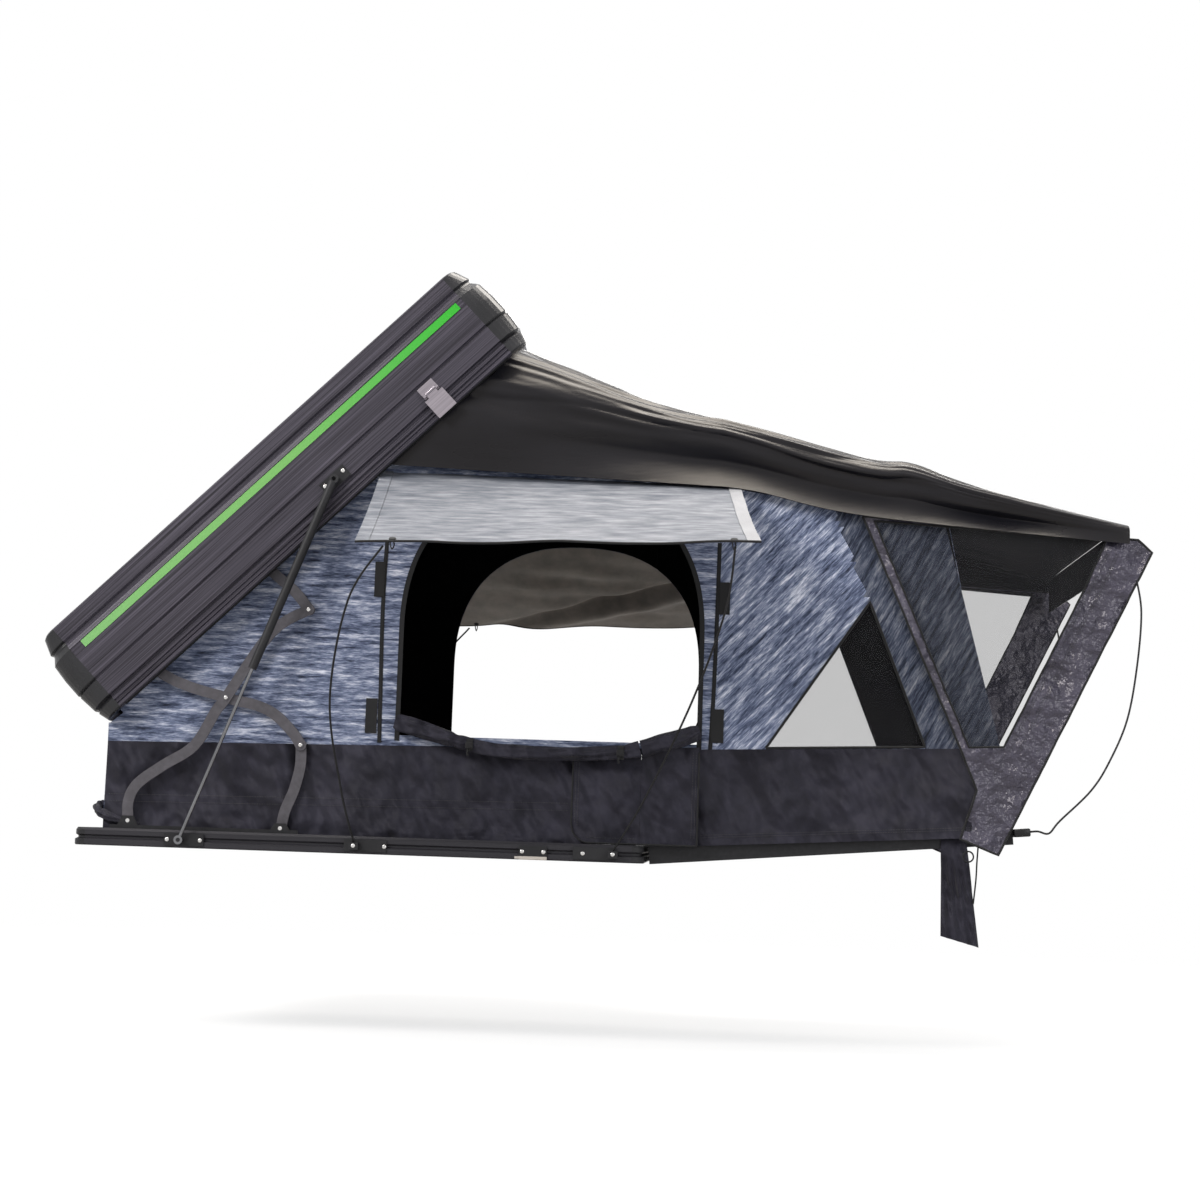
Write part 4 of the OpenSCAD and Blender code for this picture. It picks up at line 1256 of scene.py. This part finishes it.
BOLT = [(5.2, 0), (5.2, 0.5), (4.9, 1.0), (4.0, 1.4), (3.0, 1.6), (2.5, 1.6), (2.4, 0.7), (0.4, 0.6)]
BASE_BOLT_X = (-475, -392, 70, 563, 413, 466)
ROD_BOLT_X = (-5, 638)
LID_BOLT_A = (798, 858)      # along the lid


def bolt_row(spots):
    head = lathe(BOLT, 24, hexed=(5, 6))
    turn = Matrix.Rotation(math.pi / 2, 3, "X")
    return together(*[placed(head, turn, spot) for spot in spots])


# Where the lift arms cross and bend
RIVETS = {"long_arms": ((-352, -623.1, 380), (-153, -623.1, 609)), "cross_arms": ((-158, -617.7, 267),)}


def add_rivets():
    for body, spots in RIVETS.items():
        pair(f"rivets_{body}", bolt_row(spots), "bright", body)


def add_bolts():
    base = [(x, -BASE_SIDE - 4, 20) for x in BASE_BOLT_X] + [(x, -BASE_SIDE - 24, 20) for x in ROD_BOLT_X]
    pair("base_bolt", bolt_row(base), "bright", "base", "base_bolts")
    lid = [(x, -BASE_SIDE - 3, z) for x, z in (lid_at(a, 66) for a in LID_BOLT_A)]
    pair("lid_bolt", bolt_row(lid), "bright", "lid", "lid_bolts")


# Sewn trims on the walls

# Routes (x, z) of the zips; middle, width and height of the tabs
ZIPS = (((36, 800), (32, 641), (34, 488), (38, 280)), ((881, 811), (879, 615), (876, 438), (871, 288)))
TABS = ((21, 694, 25, 90), (15, 347, 29, 88), (897, 670, 27, 82), (887, 348, 32, 84))


def window_binding(first, last):
    """A dark tape sewn round the window's edge, between two places along x."""
    grow = 1 + 5 / WIN_HALF
    edge = [(mix(WIN_MIDDLE, x, grow), mix(WIN_SPRING, z, grow)) for x, z in arch_points()]
    edge = [(WIN_LEFT - 5, WIN_LOW - 14)] + edge + [(WIN_RIGHT + 5, WIN_LOW - 14)]
    path = [(q.x, q.y) for q in even([(x, z, 0) for x, z in edge], 9) if first <= q.x <= last]
    return tape(path, 12, 1.4, 1.2)


def stitches(path, y_at):
    """A row of short raised stitches along an (x, z) path."""
    line = even([(x, z, 0) for x, z in path], 3.2)
    shapes = []
    for a, b in zip(line[::2], line[1::2]):
        ends = [Vector((q.x, y_at(q.x, q.y) - 0.5, q.y)) for q in (a, b)]
        shapes.append(tube(ends, 0.75, 4))
    return together(*shapes)


def skirt_stitching():
    """Double rows along the skirt's pleat and the loose flap's edge."""
    ends = (WALL_LOW_X + 10, FLAP_START - 8)
    rows = [[(x, PLEAT_Z + PLEAT_RISE * x + dz) for x in ends] for dz in (-9, 9)]
    shapes = [stitches(row, skirt_y) for row in rows]
    for dx in (8, 15):
        low = flap_low(FLAP_START + dx) + 30
        shapes.append(stitches([(FLAP_START + dx, low), (FLAP_START + dx, 266)], flap_y))
    shapes.append(stitches([(FLAP_START + 40, 60), (SPLIT - 6, 60)], flap_y))
    return together(*shapes)


def annex_stitching():
    """Double rows at the flap's right edge and above the annex skirt's hem."""
    shapes = [stitches([(FLAP_END - dx, 66), (FLAP_END - dx, 280)], flap_y) for dx in (7, 15)]
    for up in (20, 26):
        ends = [(x, annex_low(x) + up) for x in (FLAP_END + 8, FLOOR_END - 60)]
        shapes.append(stitches(ends, annex_y))
    return together(*shapes)


def wing_stitching():
    """Double rows beside the mesh on the porch's wide border."""
    (ax, az), (bx, bz) = WING_HOLE[2], WING_HOLE[3]
    rows = [[(ax + out, az - 10), (bx + out + 46, bz + 94)] for out in (9, 15, 34, 40)]
    return together(*[stitches(row, wing_y) for row in rows])


def corner_gather():
    """Spare cloth bunched at the skirt's low corner."""
    path = spline([(-652, -560, 104), (-668, -580, 101), (-668, -602, 92), (-650, -611, 78), (-612, -612, 66),
                   (-560, -609, 58)], 10)

    def radius(s, a):
        lump = 1 + 0.35 * wobble(s * 9, math.cos(a) * 1.4, math.sin(a) * 1.4) + 0.18 * math.sin(4 * a + 9 * s)
        return 10 * lump * min(1, 0.35 + 5 * s, 0.3 + 2.4 * (1 - s))
    return tube(path, radius, 22)


def flap_piping(first, last):
    """Corded edge round the loose flap's free sides, between two places along x."""
    left = [(FLAP_START, z) for z in range(270, 90, -10)]
    low = [(x, flap_low(x)) for x in range(FLAP_START, FLAP_END, 4)]
    right = [(FLAP_END, z) for z in range(50, 285, 10)]
    path = [Vector((x, flap_y(x, z) - 0.4, z)) for x, z in left + low + right if first <= x <= last]
    return tube(path, 2.1, 8)


def add_trims():
    for k, route in enumerate(ZIPS):
        body = "base" if k == 0 else "floor"
        path = [(p.x, p.y) for p in spline([(x, z, 0) for x, z in route], 14)]
        zip_shape = together(tape(path, 10, 1.2, 1.0), tape(path, 4, 2.2, 1.4))
        trim_pair(f"window_zip_{k}", zip_shape, "webbing", body)
    for k, (x, z, w, h) in enumerate(TABS):
        body = "base" if x < SPLIT else "floor"
        path = [(x, z + h * (s / 6 - 0.5)) for s in range(7)]
        trim_pair(f"wall_tab_{k}", tape(path, w, 3.0, 2.0), "webbing", body)
    trim_pair("window_binding", window_binding(0, SPLIT), "webbing", "base")
    trim_pair("window_binding_end", window_binding(SPLIT, WIN_PAST), "webbing", "floor")
    trim_pair("flap_piping", flap_piping(0, SPLIT), "webbing", "base")
    trim_pair("flap_piping_end", flap_piping(SPLIT + 1, FLAP_END), "webbing", "floor")
    trim_pair("skirt_stitching", skirt_stitching(), "thread", "base")
    trim_pair("annex_stitching", annex_stitching(), "thread", "floor")
    trim_pair("wing_stitching", wing_stitching(), "thread", "floor")
    trim_pair("corner_gather", corner_gather(), "skirt", "base")


# Finish of the nodes that stay as they are

FINISH = {
    "lid": ("lid_sides",), "lid_cross": ("lid_ends",), "rail": ("base_side_rails", "mount_rails"),
    "rail_cross": ("base_end_rails",), "panel": ("lid_panel", "base_floor", "floor_panel"),
    "plastic": ("base_corner_caps", "rod_sockets", "strut_cylinders"), "cap": ("lid_corner_caps",),
    "arm": ("long_arms", "cross_arms", "top_links", "base_links"),
    "black_steel": ("arm_base_plates", "strut_base_brackets", "lid_strut_brackets", "lid_arm_brackets",
                    "floor_side_rails", "floor_end_rails", "hinge_blocks", "hinge_leaves", "hoop_pivots",
                    "end_rings"),
    "latch": ("latch_bases", "latch_lever_near", "latch_lever_far"), "keeper": ("latch_keepers",),
    "bright": ("base_pivot_pins", "lid_pivot_pins", "hinge_pins"), "chrome": ("strut_rods",),
    "stripe": ("lid_stripes",), "rubber": ("lid_seal",), "hoop": ("hoop",),
}


def finish_nodes():
    for material, names in FINISH.items():
        for name in names:
            mesh = NODES[name].data
            mesh.materials.clear()
            mesh.materials.append(M[material])


add_studio()
add_cord()
finish_nodes()
add_walls()
add_skirts()
add_fly()
add_awnings()
add_rolls()
add_porch()
add_end_cloths()
add_porch_ends()
add_mattresses()
add_bolts()
add_rivets()
add_trims()

bpy.context.view_layer.update()
